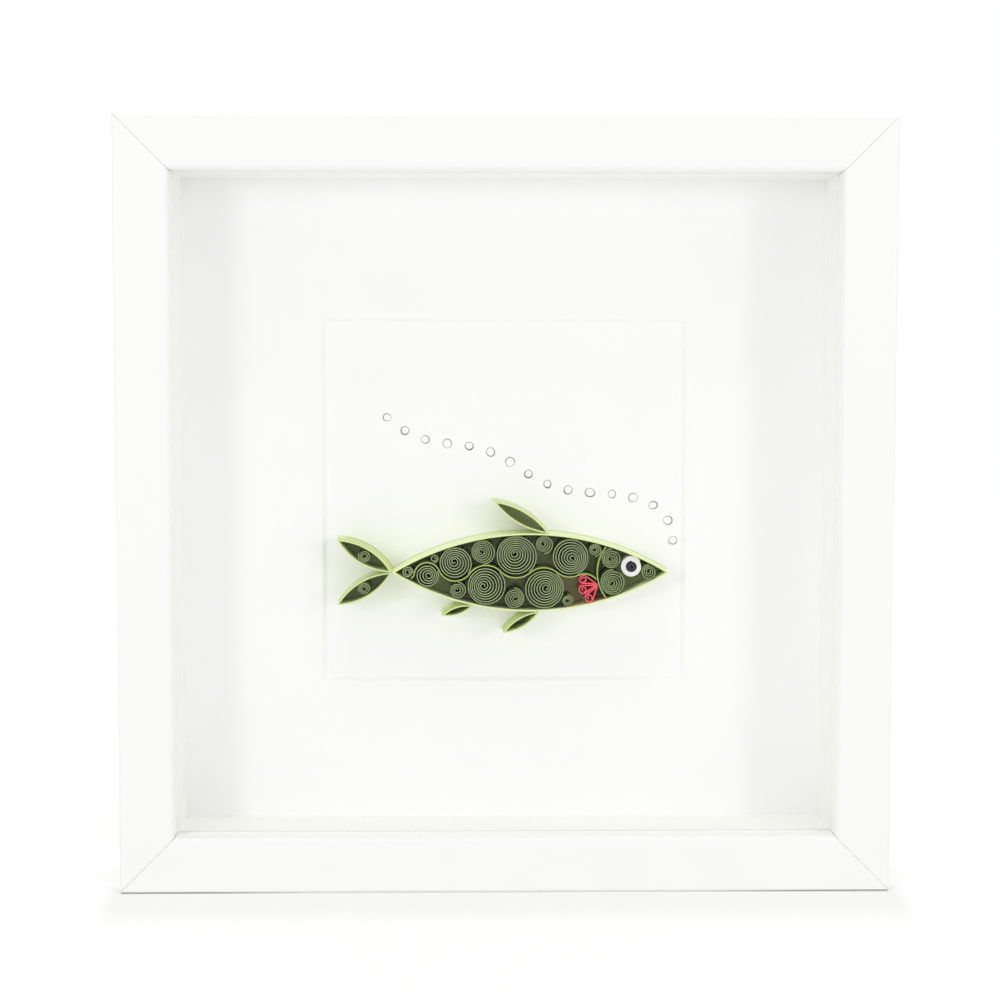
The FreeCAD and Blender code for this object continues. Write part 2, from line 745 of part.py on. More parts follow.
class Fish:
    """The layout of the quilled fish: an almond body filled by a running stem with its rolls."""

    def __init__(self):
        self.gap = value("glue_gap")
        self.thin = value("quill_thick")
        self.half_long = value("body_long") / 2
        self.half_high = value("body_high") / 2
        self.nose = (self.half_long, 0)
        self.root = (-self.half_long, 0)
        self.radius = (self.half_long**2 + self.half_high**2) / (2 * self.half_high)
        drop = self.radius - self.half_high
        hollow = self.radius - value("outline_thick")
        self.back = Wall((0, -drop), hollow, hollow=True)
        self.belly = Wall((0, drop), hollow, hollow=True)
        gill_middle = (self.half_long - value("gill_place") + value("gill_radius"), 0)
        self.gill = Wall(gill_middle, value("gill_radius"))
        self.cheek = Wall(gill_middle, value("gill_radius") - self.thin, hollow=True)

    def outside(self, roll):
        """The outer face of a roll, given as its middle and radius."""
        return Wall(*roll)

    def stem_around(self, roll):
        """The outer face of the stem where it bends around a roll."""
        return Wall(roll[0], roll[1] + self.gap + self.thin)

    def build(self):
        """Makes every piece of the fish."""
        self.build_outline()
        self.build_head()
        rolls = self.lay_large_rolls()
        self.build_fan(rolls[0])
        self.build_large_rolls(rolls)
        self.build_small_rolls(rolls)
        self.build_tail()
        self.build_fins()
        self.build_base()

    def body_edges(self, inset):
        """The outline of the body drawn in by an inset, or out by a negative one."""
        return leaf_edges(self.root, 0, self.half_long, self.half_high, inset)

    def build_outline(self):
        """The bright strip around the body."""
        ring = ring_face(self.body_edges(0), self.body_edges(value("outline_thick")))
        stand("body_outline", ring, size["strip_tall"])

    def build_head(self):
        """The gill strip, the eye and the small rolls around it."""
        middle_line = self.gill.radius - self.thin / 2
        edge = self.back.radius - self.gap - self.thin / 2
        top = meet(self.gill.middle, middle_line, self.back.middle, edge, (-1, 1))
        start = angle_of(self.gill.middle, top)
        sweep = 2 * (math.pi - start)
        bend = Bend(self.gill.middle, middle_line, start, sweep)
        stand("gill_strip", strip_face([bend], self.thin), size["fill_tall"])
        across = self.half_long - value("eye_place")
        reach = self.back.reach(value("eye_radius"), self.gap)
        eye = (across, self.back.middle[1] + math.sqrt(reach**2 - across**2))
        eye_wall = Wall(eye, value("eye_radius"))
        self.build_eye(eye)
        spaces = {
            "cheek_roll_upper": (self.back, self.cheek, [eye_wall], (-1, 1)),
            "cheek_roll_lower": (self.belly, self.cheek, [eye_wall], (-1, -1)),
            "nose_roll": (self.back, self.belly, [eye_wall], (1, 0)),
        }
        for label, (first, second, others, towards) in spaces.items():
            roll = largest_roll(first, second, others, towards, self.half_high, self.gap)
            self.build_roll(label, roll, size["small_pitch"], math.pi / 2, 1)

    def build_eye(self, eye):
        """The white roll of the eye around its dark core."""
        for label, outer, inner in (
            ("eye_white", value("eye_radius"), value("pupil_radius") + self.gap / 2),
            ("eye_core", value("pupil_radius"), None),
        ):
            face = Part.Face(Part.Wire(self.circle(eye, outer)))
            if inner is not None:
                face = face.cut(Part.Face(Part.Wire(self.circle(eye, inner))))
            stand(label, face, size["fill_tall"])

    def circle(self, middle, radius):
        """A full circle at the foot of the strips."""
        return Part.makeCircle(radius, point_at(middle, strip_foot), Vector(0, -1, 0))

    def build_roll(self, label, roll, pitch, start, turn_way):
        """One roll of thin strip that fills its circle."""
        middle, radius = roll
        if radius < value("tight_limit"):
            pitch = size["tight_pitch"]
        face = roll_face(middle, radius, pitch.value, start, turn_way, self.thin)
        stand(label, face, size["fill_tall"])

    def lay_large_rolls(self):
        """The circle of the fan, then the large rolls, sized so that the last one fills the tail's root."""
        for count in range(LARGE_ROLLS, 1, -1):
            low, high = ROLL_SHARES
            best = None
            for _ in range(HALVINGS):
                share = (low + high) / 2
                rolls = self.lay_chain(share, count)
                if rolls and rolls[-1][1] >= value("last_roll"):
                    low = share
                    best = rolls
                else:
                    high = share
            if best and self.neighbours_clear(best):
                return best
        raise RuntimeError("the body is too small for its rolls")

    def neighbours_clear(self, rolls):
        """Whether each roll clears the next one on its own side of the stem."""
        pairs = zip(rolls, rolls[2:])
        return all(self.outside(first).spare(*second, self.gap) >= 0 for first, second in pairs)

    def lay_chain(self, share, count):
        """Rolls in turn under the back and over the belly, each a share of the height there."""
        radius = value("fan_radius")
        rolls = [(seat(self.belly, self.gill, radius, (-1, 0), self.gap), radius)]
        for number in range(count - 1):
            middle, radius = rolls[-1]
            edge, far_edge = (self.belly, self.back) if number % 2 else (self.back, self.belly)
            across = middle[0] - ROLL_LOOK_AHEAD * radius
            if abs(across) > self.half_long:
                return None
            wanted = share * (math.sqrt(self.back.radius**2 - across**2) + self.back.middle[1])
            front = Wall(middle, radius + self.gap + self.thin)
            seated = seat(edge, front, wanted, (-1, 0), self.gap)
            if seated is None or far_edge.spare(seated, wanted, self.gap) < 0:
                return None
            rolls.append((seated, wanted))
        front = self.stem_around(rolls[-1])
        last = largest_roll(self.back, self.belly, [front], (-1, 0), self.half_high, self.gap)
        return rolls + [last] if last else None

    def build_fan(self, circle):
        """Three red petals that spread from a spot behind the gill."""
        middle, radius = circle
        heading = angle_of(self.gill.middle, middle)
        root = dot_on(middle, -radius, heading)
        spread = math.radians(value("petal_spread"))
        taper = math.radians(value("petal_taper"))
        stretch = 1 / math.sin(taper)
        room = 2 * (radius - self.gap)
        petal_radius = room * (stretch * math.cos(spread) - 1) / (stretch**2 - 1)
        for number, side in enumerate((-1, 0, 1), start=1):
            angle = heading + side * spread
            tip = dot_on(root, self.gap, angle)
            outer = petal_edges(tip, angle, petal_radius, taper, 0)
            inner = petal_edges(tip, angle, petal_radius, taper, self.thin)
            core = dot_on(tip, petal_radius * stretch, angle)
            start = angle + math.pi / 2
            reach = petal_radius - self.thin / 2
            turns = roll_face(core, reach, value("petal_pitch"), start, 1, self.thin)
            faces = (ring_face(outer, inner), turns)
            keep(fuse([extrude(flat(face), size["fill_tall"]) for face in faces]), f"petal_{number}")

    def joint_between(self, first, second):
        """Where the stem passes from one roll to the next."""
        share = (first[1] + self.gap + self.thin / 2) / (first[1] + second[1] + 2 * self.gap + self.thin)
        return between(first[0], second[0], share)

    def build_large_rolls(self, rolls):
        """The running stem and the large rolls on either side of it."""
        joints = [self.joint_between(*pair) for pair in zip(rolls, rolls[1:])]
        first_middle, first_radius = rolls[0]
        line = first_radius + self.gap + self.thin / 2
        clear_of_gill = self.gill.radius + self.gap + self.thin / 2
        start = meet(first_middle, line, self.gill.middle, clear_of_gill, (0, 1))
        marks = [start] + joints
        bends = []
        for number, (middle, radius) in enumerate(rolls[:-1]):
            way = -1 if number % 2 else 1
            begin = angle_of(middle, marks[number])
            end = angle_of(middle, marks[number + 1])
            sweep = (end - begin) * way % (2 * math.pi)
            bends.append(Bend(middle, radius + self.gap + self.thin / 2, begin, way * sweep))
        last_middle, last_radius = rolls[-1]
        way = 1 if len(rolls) % 2 else -1
        begin = angle_of(last_middle, joints[-1])
        wrap = way * math.radians(value("stem_wrap"))
        bends.append(Bend(last_middle, last_radius + self.gap + self.thin / 2, begin, wrap))
        stand("running_stem", strip_face(bends, self.thin), size["fill_tall"])
        for number, roll in enumerate(rolls[1:], start=1):
            way = 1 if number % 2 else -1
            start = angle_of(roll[0], joints[number - 1])
            self.build_roll(f"large_roll_{number}", roll, size["large_pitch"], start, way)

    def build_small_rolls(self, rolls):
        """A small roll in each space between two large ones and the outline."""
        for number, roll in enumerate(rolls[:-1]):
            edge = self.belly if number % 2 else self.back
            front = self.outside(rolls[number - 1]) if number else self.gill
            others = [self.outside(rolls[number + 1]), self.stem_around(roll)]
            small = largest_roll(edge, front, others, (-1, 0), self.half_high, self.gap)
            way = -1 if number % 2 else 1
            self.build_roll(f"small_roll_{number + 1}", small, size["small_pitch"], -math.pi / 2 * way, way)

    def tail_leaf(self, side, inset):
        """One lobe of the tail, drawn in by an inset."""
        angle = math.pi - side * math.radians(value("tail_turn"))
        tip = dot_on(self.root, self.gap, angle)
        return leaf_edges(tip, angle, value("tail_long") / 2, value("tail_high") / 2, inset)

    def build_tail(self):
        """The two lobes of the tail with a roll in each."""
        for label, side in (("upper", 1), ("lower", -1)):
            ring = ring_face(self.tail_leaf(side, 0), self.tail_leaf(side, self.thin))
            stand(f"tail_lobe_{label}", ring, size["strip_tall"])
            angle = math.pi - side * math.radians(value("tail_turn"))
            middle = dot_on(self.root, self.gap + value("tail_long") / 2, angle)
            radius = value("tail_high") / 2 - self.thin - self.gap
            self.build_roll(f"tail_roll_{label}", (middle, radius), size["small_pitch"], angle, side)

    def fin_leaf(self, name, side, inset):
        """A fin whose near edge leaves the outline with a small lift."""
        half_long = value(f"{name}_long") / 2
        half_high = value(f"{name}_high") / 2
        leaf_radius = (half_long**2 + half_high**2) / (2 * half_high)
        tip_half = math.asin(half_long / leaf_radius)
        place = value(f"{name}_place")
        drop = self.radius - self.half_high
        slope = math.asin(place / self.radius)
        centre = (0, -side * drop)
        tip = dot_on(centre, self.radius + self.gap, side * (math.pi / 2 - slope))
        lift = tip_half + math.radians(value("fin_lift"))
        angle = math.pi - side * (slope + lift)
        return leaf_edges(tip, angle, half_long, half_high, inset)

    def build_fins(self):
        """The fin on the back and the two under the belly."""
        for label, name, side in (
            ("back_fin", "dorsal", 1),
            ("belly_fin_front", "belly", -1),
            ("belly_fin_rear", "vent", -1),
        ):
            ring = ring_face(self.fin_leaf(name, side, 0), self.fin_leaf(name, side, self.thin))
            stand(label, ring, size["strip_tall"])

    def build_base(self):
        """The coloured card, cut to the fish's shape, that every strip stands on."""
        rim = value("base_rim")
        outlines = [self.body_edges(-rim)]
        outlines += [self.tail_leaf(side, -rim) for side in (1, -1)]
        fins = (("dorsal", 1), ("belly", -1), ("vent", -1))
        outlines += [self.fin_leaf(name, side, -rim) for name, side in fins]
        faces = [make_face(outline, base_front) for outline in outlines]
        keep(fuse([extrude(flat(face), size["base_thick"]) for face in faces]), "fish_base")


def build_picture():
    """Builds every piece of the picture."""
    for number, side in enumerate(("bottom", "left", "top", "right")):
        make_rail(f"rail_{side}", number * QUARTER_TURN)
        make_spacer(f"spacer_{side}", number * QUARTER_TURN)
    make_corner_nails("corner_nails")
    make_sheet("glass_pane", glass_front, size["glass_thick"])
    make_mat()
    make_sheet("picture_card", card_front, size["card_thick"])
    make_board()
    make_points("board_points")
    make_hanger()
    make_rivets("hanger_rivets")
    Fish().build()
    document.recompute()


def check_and_export():
    """Makes sure that every object is sound, then writes one file for each piece."""
    for item in document.Objects:
        if "Invalid" in item.State or "Error" in item.State:
            raise RuntimeError(f"{item.Label} failed: {item.State}")
    for piece in pieces:
        shape = piece.Shape
        if shape.isNull() or not shape.isValid() or not shape.Solids:
            raise RuntimeError(f"{piece.Label} has no sound solid")
    os.makedirs("parts", exist_ok=True)
    for piece in pieces:
        piece.Shape.exportStep(os.path.join("parts", f"{piece.Label}.step"))
        print(f"{piece.Label}: {len(piece.Shape.Solids)} solid, {piece.Shape.Volume:.1f} mm3")


build_picture()
check_and_export()
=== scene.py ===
"""A square white box frame with a glazed front, a window mat and a fish of quilled paper on its card.

The scene is in metres, Z up, and stands on Z = 0 with its front towards -Y. Sizes and depths of the pieces
are in millimetres. Flat spots of the fish are counted from the middle of its body: along it towards the
nose, and up. The camera, the lamps, the side of the floor and the scales of the noises are in metres.
"""

import logging
import math
import random
from collections.abc import Iterable, Sequence
from dataclasses import dataclass, field
from enum import Enum
from typing import Any, Union

import bmesh
import bpy
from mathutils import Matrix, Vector


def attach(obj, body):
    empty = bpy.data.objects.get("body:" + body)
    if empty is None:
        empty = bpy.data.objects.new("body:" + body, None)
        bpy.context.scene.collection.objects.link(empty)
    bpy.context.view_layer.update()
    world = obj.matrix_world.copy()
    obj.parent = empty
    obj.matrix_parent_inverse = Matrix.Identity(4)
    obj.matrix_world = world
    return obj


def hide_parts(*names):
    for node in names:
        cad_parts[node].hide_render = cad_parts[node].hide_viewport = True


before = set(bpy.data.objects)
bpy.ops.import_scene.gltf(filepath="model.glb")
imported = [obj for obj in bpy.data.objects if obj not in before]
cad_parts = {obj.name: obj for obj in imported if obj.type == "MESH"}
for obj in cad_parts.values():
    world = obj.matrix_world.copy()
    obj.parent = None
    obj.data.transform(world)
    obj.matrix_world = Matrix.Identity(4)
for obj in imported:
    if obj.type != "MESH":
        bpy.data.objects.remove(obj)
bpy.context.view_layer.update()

log = logging.getLogger("framed_quilled_paper")

MM = 0.001

# The middle of the whole object in metres, and of the fish's body in millimetres, across and up
MIDDLE = Vector((0.0, 0.0, 0.125))
FISH_MIDDLE = (8.5, 102.0)

# How deep the fronts of the base card and of the picture card lie
BASE_FRONT = 11.6
CARD_FRONT = 11.9

# The angle from which an edge is a corner
CORNER_FROM = math.radians(32.0)

Spot = tuple[float, float]
Colour = tuple[float, float, float, float]
Number = Union["Signal", float]
Tint = Union["Signal", Colour, str]


def shade(code: str) -> Colour:
    """Turns a six-digit display colour into a linear one.

    Args:
        code: Red, green and blue as two hexadecimal digits each.

    Returns:
        The linear red, green, blue and a full alpha.
    """
    parts = [int(code[place : place + 2], 16) / 255 for place in (0, 2, 4)]
    linear = [part / 12.92 if part <= 0.04045 else ((part + 0.055) / 1.055) ** 2.4 for part in parts]
    return (linear[0], linear[1], linear[2], 1.0)


def grey(level: float) -> Colour:
    """A linear grey."""
    return (level, level, level, 1.0)


# Shader graphs


class Signal:
    """A socket whose value varies over a surface. Arithmetic on it adds Math nodes."""

    def __init__(self, graph: "Graph", socket: bpy.types.NodeSocket) -> None:
        """Wraps a socket of a graph."""
        self.graph = graph
        self.socket = socket

    def calculate(self, operation: str, *values: Number) -> "Signal":
        """Adds a Math node with the given inputs."""
        return self.graph.node("ShaderNodeMath", {"operation": operation}, dict(enumerate(values)))

    def __add__(self, other: Number) -> "Signal":
        """This plus another."""
        return self.calculate("ADD", self, other)

    def __radd__(self, other: float) -> "Signal":
        """A number plus this."""
        return self.calculate("ADD", other, self)

    def __sub__(self, other: Number) -> "Signal":
        """This less another."""
        return self.calculate("SUBTRACT", self, other)

    def __rsub__(self, other: float) -> "Signal":
        """A number less this."""
        return self.calculate("SUBTRACT", other, self)

    def __mul__(self, other: Number) -> "Signal":
        """This times another."""
        return self.calculate("MULTIPLY", self, other)

    def __abs__(self) -> "Signal":
        """The size of this without its sign."""
        return self.calculate("ABSOLUTE", self)

    def most(self, other: Number) -> "Signal":
        """The larger of this and another."""
        return self.calculate("MAXIMUM", self, other)

    def least(self, other: Number) -> "Signal":
        """The smaller of this and another."""
        return self.calculate("MINIMUM", self, other)

    def sine(self) -> "Signal":
        """The sine of this angle."""
        return self.calculate("SINE", self)

    def above(self, limit: float) -> "Signal":
        """One where this is over a limit, elsewhere nothing."""
        return self.calculate("GREATER_THAN", self, limit)

    def between(self, low: float, high: float) -> "Signal":
        """Rises smoothly from nothing at the low value to one at the high one."""
        sockets = {"Value": self, "From Min": low, "From Max": high}
        return self.graph.node("ShaderNodeMapRange", {"interpolation_type": "SMOOTHSTEP"}, sockets)


class Graph:
    """The nodes of one material or world."""

    def __init__(self, owner: bpy.types.ID) -> None:
        """Empties the node tree of its owner."""
        owner.use_nodes = True
        self.tree = owner.node_tree
        self.tree.nodes.clear()

    def node(
        self,
        kind: str,
        settings: dict[str, Any] | None = None,
        sockets: dict[Any, Any] | None = None,
        output: int | str = 0,
    ) -> Signal:
        """Adds a node.

        Args:
            kind: The node's type.
            settings: Its settings, which are set first.
            sockets: Signals, values or colour codes for its inputs, by name or number.
            output: The output wanted.

        Returns:
            That output.
        """
        made = self.tree.nodes.new(kind)
        for name, setting in (settings or {}).items():
            setattr(made, name, setting)
        for place, given in (sockets or {}).items():
            if isinstance(given, Signal):
                self.tree.links.new(given.socket, made.inputs[place])
            else:
                made.inputs[place].default_value = shade(given) if isinstance(given, str) else given
        return Signal(self, made.outputs[output])

    def place(self) -> Signal:
        """The point on the surface, in metres."""
        return self.node("ShaderNodeTexCoord", output="Object")

    def facing(self) -> Signal:
        """The surface's own normal."""
        return self.node("ShaderNodeNewGeometry", output="True Normal")

    def split(self, vector: Signal) -> list[Signal]:
        """The three numbers of a vector."""
        parts = self.node("ShaderNodeSeparateXYZ", sockets={0: vector})
        return [Signal(self, socket) for socket in parts.socket.node.outputs]

    def stretch(self, vector: Signal, factors: tuple[float, float, float]) -> Signal:
        """A vector scaled along each axis."""
        return self.node("ShaderNodeVectorMath", {"operation": "MULTIPLY"}, {0: vector, 1: factors})

    def millimetres(self) -> list[Signal]:
        """The three coordinates of the point on the surface, in millimetres."""
        return self.split(self.stretch(self.place(), (1 / MM, 1 / MM, 1 / MM)))

    def ray(self, kind: str) -> Signal:
        """One for the rays of a kind, for others nothing."""
        return self.node("ShaderNodeLightPath", output=kind)

    def noise(self, vector: Signal, scale: float, detail: float = 2.0, rough: float = 0.5) -> Signal:
        """Soft noise about a half: its waves a metre, how many finer layers, and their strength."""
        sockets = {"Vector": vector, "Scale": scale, "Detail": detail, "Roughness": rough}
        return self.node("ShaderNodeTexNoise", {}, sockets)

    def mix(self, share: Number, first: Tint, second: Tint) -> Signal:
        """Mixes two colours by the share of the second."""
        return self.node("ShaderNodeMix", {"data_type": "RGBA"}, {0: share, 6: first, 7: second}, 2)

    def bump(self, height: Signal, tall: float, strength: float, under: Signal | None = None) -> Signal:
        """Raises a surface.

        Args:
            height: The height, from nothing to one.
            tall: How many millimetres one stands for.
            strength: How much of it shows.
            under: A bump that this one lies on.

        Returns:
            The bent normal.
        """
        sockets = {"Strength": strength, "Distance": tall * MM, "Height": height}
        if under is not None:
            sockets["Normal"] = under
        return self.node("ShaderNodeBump", {}, sockets)

    def blend(self, share: Signal, first: Signal, second: Signal) -> Signal:
        """Mixes two shaders by the share of the second."""
        return self.node("ShaderNodeMixShader", {}, {0: share, 1: first, 2: second})

    def surface(
        self,
        colour: Tint,
        rough: Number,
        normal: Signal | None = None,
        shine: float = 0.5,
        metal: float = 0.0,
    ) -> None:
        """Ends the graph in one principled surface.

        Args:
            colour: Its colour.
            rough: Its roughness.
            normal: Its bent normal, where it has one.
            shine: How much it mirrors.
            metal: How far it is metal.
        """
        sockets = {"Base Color": colour, "Roughness": rough, "Specular IOR Level": shine, "Metallic": metal}
        if normal is not None:
            sockets["Normal"] = normal
        self.end(self.node("ShaderNodeBsdfPrincipled", {}, sockets))

    def end(self, shader: Signal, kind: str = "ShaderNodeOutputMaterial") -> None:
        """Ends the graph in a shader."""
        self.tree.links.new(shader.socket, self.tree.nodes.new(kind).inputs["Surface"])


# Finishes


@dataclass(frozen=True)
class Finish:
    """A finish by name. Its material is made once."""

    name: str

    def draw(self, graph: Graph) -> None:
        """Draws the finish in a graph."""
        raise NotImplementedError

    def material(self) -> bpy.types.Material:
        """Gives the material of this finish.

        Returns:
            The one made before, or a new one.
        """
        known = bpy.data.materials.get(self.name)
        if known is None:
            known = bpy.data.materials.new(self.name)
            self.draw(Graph(known))
        return known


@dataclass(frozen=True)
class PaintedRail(Finish):
    """White foil over fibreboard, with the thin dark mitre lines, the bare board in the rebate and painted
    light that whitens the lip's inner walls.
    """

    white: str = "f4f4f2"
    # Painted light: the whiter colour of the lip's inner walls, which lightens their shade
    lip_painted_light: str = "fafaf8"
    grime: str = "c9c5b8"
    seam: str = "6b675e"
    bare: str = "b39a78"
    bare_dark: str = "8d7352"
    half_side: float = 125.0
    half_opening: float = 107.5
    lip_edge: float = 1.6
    outer_skin: Spot = (124.2, 124.6)
    rebate_from: float = -11.3
    seam_half: float = 0.11
    seam_deep: float = 0.12
    peel_scale: float = 520.0
    peel_deep: float = 0.02

    def draw(self, graph: Graph) -> None:
        """Draws the finish in a graph."""
        place = graph.place()
        across, depth, height = graph.millimetres()
        turned = graph.split(graph.facing())
        aside = abs(across)
        up = abs(height - self.half_side)
        from_middle = aside.most(up)
        near_opening = 1 - from_middle.between(self.half_opening, self.half_opening + self.lip_edge)
        broken = graph.noise(place, self.peel_scale, 1.0, 0.6).between(0.46, 0.6)
        line = 1 - abs(aside - up).between(self.seam_half * 0.5, self.seam_half * 1.7)
        seam = line * (0.05 + broken * 0.25 + near_opening * 0.2)
        grubby = graph.noise(place, 38.0, 2.0, 0.55).between(0.45, 0.8) * 0.018
        # Painted light: the lip's inner walls near the opening take a whiter colour than the face, to
        # lighten their shade
        lip = near_opening * (1 - abs(turned[1]).between(0.3, 0.8))
        white = graph.mix(grubby, graph.mix(lip, self.white, self.lip_painted_light), self.grime)
        fibres = graph.noise(graph.stretch(place, (1.0, 1.6, 1.0)), 1500.0, 2.0, 0.7)
        board = graph.mix(fibres, self.bare, self.bare_dark)
        inside = 1 - from_middle.between(*self.outer_skin)
        hidden = depth.above(self.rebate_from) * inside * (1 - turned[1].above(0.5))
        peel = graph.noise(place, self.peel_scale, 1.0, 0.5)
        low = graph.bump(peel, self.peel_deep, 0.35)
        groove = graph.bump(1 - line, self.seam_deep, 0.8, low)
        colour = graph.mix(seam, graph.mix(hidden, white, board), self.seam)
        graph.surface(colour, 0.34 + hidden * 0.45 + peel * 0.06, groove, 0.45)


@dataclass(frozen=True)
class SlatWrap(Finish):
    """Matt white paper wrapped around a slat, with faint fibres."""

    white: str = "fefefc"
    fibre: str = "f8f7f1"

    def draw(self, graph: Graph) -> None:
        """Draws the finish in a graph."""
        place = graph.place()
        fibres = graph.noise(place, 2600.0, 2.0, 0.65)
        tone = graph.noise(place, 60.0, 0.0)
        colour = graph.mix(fibres.between(0.35, 0.75) * 0.22 + tone * 0.08, self.white, self.fibre)
        graph.surface(colour, 0.62 + fibres * 0.12, graph.bump(fibres, 0.02, 0.5))


@dataclass(frozen=True)
class SheetPaper(Finish):
    """Thick paper or mat board: a fine tooth, faint clouding, and a cut edge with its core showing."""

    face: str
    cloud: str
    core: str
    tooth: float = 1900.0
    tooth_deep: float = 0.03
    rough: float = 0.86

    def draw(self, graph: Graph) -> None:
        """Draws the finish in a graph."""
        place = graph.place()
        cut = 1 - abs(graph.split(graph.facing())[1]).between(0.85, 0.97)
        tooth = graph.noise(place, self.tooth, 2.0, 0.62)
        clouds = graph.noise(place, 26.0, 1.0, 0.5).between(0.35, 0.75)
        layers = graph.noise(graph.stretch(place, (1.0, 14.0, 1.0)), 900.0, 1.0, 0.7)
        face = graph.mix(clouds * 0.45 + tooth * 0.3, self.face, self.cloud)
        core = graph.mix(layers * 0.5, self.core, self.cloud)
        normal = graph.bump(tooth, self.tooth_deep, 0.75)
        graph.surface(graph.mix(cut, face, core), self.rough + tooth * 0.08, normal, 0.3)


@dataclass(frozen=True)
class StripPaper(Finish):
    """Coloured quilling paper: its faces, its lighter cut edge, painted shade at its foot and, on outward
    faces, a wall painted paler towards the card.
    """

    wall: str
    edge: str
    fleck: str
    # How far outward walls are painted paler towards the card, to weaken the green light they bounce onto it
    bounce_paling: float = 0.0
    pale: str = "f6f9e6"
    # Painted shade at the foot, where the strip meets the card
    foot_shade: str = "33401c"
    rough: float = 0.72
    foot_shade_over: Spot = (BASE_FRONT - 1.0, BASE_FRONT)
    bounce_paling_over: Spot = (3.0, 11.0)

    def draw(self, graph: Graph) -> None:
        """Draws the finish in a graph."""
        place = graph.place()
        across, depth, height = graph.millimetres()
        turned = graph.split(graph.facing())
        cut = abs(turned[1]).between(0.3, 0.75)
        fibres = graph.noise(graph.stretch(place, (1.0, 0.35, 1.0)), 5200.0, 2.0, 0.7)
        clouds = graph.noise(place, 240.0, 1.0, 0.6)
        fuzz = graph.noise(place, 9000.0, 1.0, 0.75)
        wall = graph.mix(fibres.between(0.5, 0.85) * 0.35 + clouds * 0.12, self.wall, self.fleck)
        edge = graph.mix(fuzz.between(0.4, 0.8) * 0.55, self.edge, self.wall)
        # The outward walls are painted paler towards the card, which weakens the green light they bounce
        # onto the card
        outwards = turned[0] * (across - FISH_MIDDLE[0]) + turned[2] * (height - FISH_MIDDLE[1])
        outside = outwards.above(0.0) * self.bounce_paling
        bounce_paled = graph.mix(depth.between(*self.bounce_paling_over) * outside, wall, self.pale)
        # Painted shade: the wall darkens over its last millimetre against the card, less where the outward
        # walls are paled
        foot = graph.mix(depth.between(*self.foot_shade_over) * 0.35 * (1 - outside), bounce_paled, self.foot_shade)
        low = graph.bump(fibres, 0.03, 0.6)
        normal = graph.bump(fuzz * cut, 0.05, 0.8, low)
        graph.surface(graph.mix(cut, foot, edge), self.rough + fibres * 0.14, normal, 0.3)


@dataclass(frozen=True)
class Hardboard(Finish):
    """Pressed brown fibreboard: long fibres, dark flecks and the faint screen of its press."""

    brown: str = "8f6c49"
    dark: str = "5f432a"
    screen: float = 1.3

    def draw(self, graph: Graph) -> None:
        """Draws the finish in a graph."""
        place = graph.place()
        fibres = graph.noise(graph.stretch(place, (0.5, 1.0, 1.2)), 1400.0, 6.0, 0.72)
        flecks = graph.noise(place, 3200.0, 3.0, 0.8).between(0.62, 0.75)
        patches = graph.noise(place, 22.0, 3.0, 0.55)
        across, _, height = graph.millimetres()
        waves = 2 * math.pi / self.screen
        screen = (across * waves).sine() * (height * waves).sine() * 0.5 + 0.5
        tone = fibres.between(0.3, 0.75) * 0.6 + flecks * 0.5 + patches * 0.25
        normal = graph.bump(screen, 0.04, 0.5, graph.bump(fibres, 0.05, 0.7))
        graph.surface(graph.mix(tone.least(1.0), self.brown, self.dark), 0.58 + fibres * 0.25, normal)


class Grain(Enum):
    """How a steel sheet was worked, as the stretch of its marks along X, Y and Z."""

    BRUSHED = (0.06, 1.0, 1.0)
    ROLLED = (1.0, 1.0, 0.12)


@dataclass(frozen=True)
class SheetSteel(Finish):
    """Zinc-coated steel with working marks and dull patches."""

    grain: Grain
    bright: str = "c3c5c6"
    dull: str = "8e9092"

    def draw(self, graph: Graph) -> None:
        """Draws the finish in a graph."""
        place = graph.place()
        marks = graph.noise(graph.stretch(place, self.grain.value), 2600.0, 4.0, 0.7)
        cells = {"Vector": place, "Scale": 420.0}
        spangle = graph.node("ShaderNodeTexVoronoi", {"feature": "F1"}, cells, "Color")
        patch = graph.split(spangle)[0]
        colour = graph.mix(marks * 0.5 + patch * 0.35, self.bright, self.dull)
        graph.surface(colour, 0.3 + patch * 0.12 + marks * 0.14, graph.bump(marks, 0.02, 0.5), metal=0.95)


@dataclass(frozen=True)
class ClearPane(Finish):
    """Clear picture glass that mirrors a little, with a thin white ring of painted light that glows over the
    shaded slit at its rim.
    """

    index: float = 1.45
    coated: float = 0.15
    # Painted light: the white ring over the shaded slit where the pane meets the lip, its glow and where it
    # lies
    rim_light_white: str = "f0f0ee"
    rim_glow: float = 0.05
    rim_light_over: Spot = (107.05, 107.2)
    middle_height: float = 125.0
    half_way: float = -12.5

    def draw(self, graph: Graph) -> None:
        """Draws the finish in a graph."""
        place = graph.place()
        wiped = graph.noise(place, 30.0, 0.0, 0.6).between(0.4, 0.8)
        share = graph.node("ShaderNodeFresnel", {}, {"IOR": self.index}) * (self.coated + wiped * 0.04)
        clear = graph.node("ShaderNodeBsdfTransparent", {}, {"Color": "ffffff"})
        mirror = graph.node("ShaderNodeBsdfAnisotropic", {}, {"Color": "ffffff", "Roughness": 0.0})
        across, depth, height = graph.millimetres()
        in_front = 1 - depth.above(self.half_way)
        # Painted light: a white, faintly glowing ring on the front face at the rim hides the shaded slit
        # between the pane and the lip
        rim = abs(across).most(abs(height - self.middle_height)).between(*self.rim_light_over) * in_front
        rim_light_look = {
            "Base Color": self.rim_light_white,
            "Roughness": 0.8,
            "Emission Color": "ffffff",
            "Emission Strength": self.rim_glow,
        }
        rim_light_shader = graph.node("ShaderNodeBsdfPrincipled", {}, rim_light_look)
        graph.end(graph.blend(rim, graph.blend(share, clear, mirror), rim_light_shader))


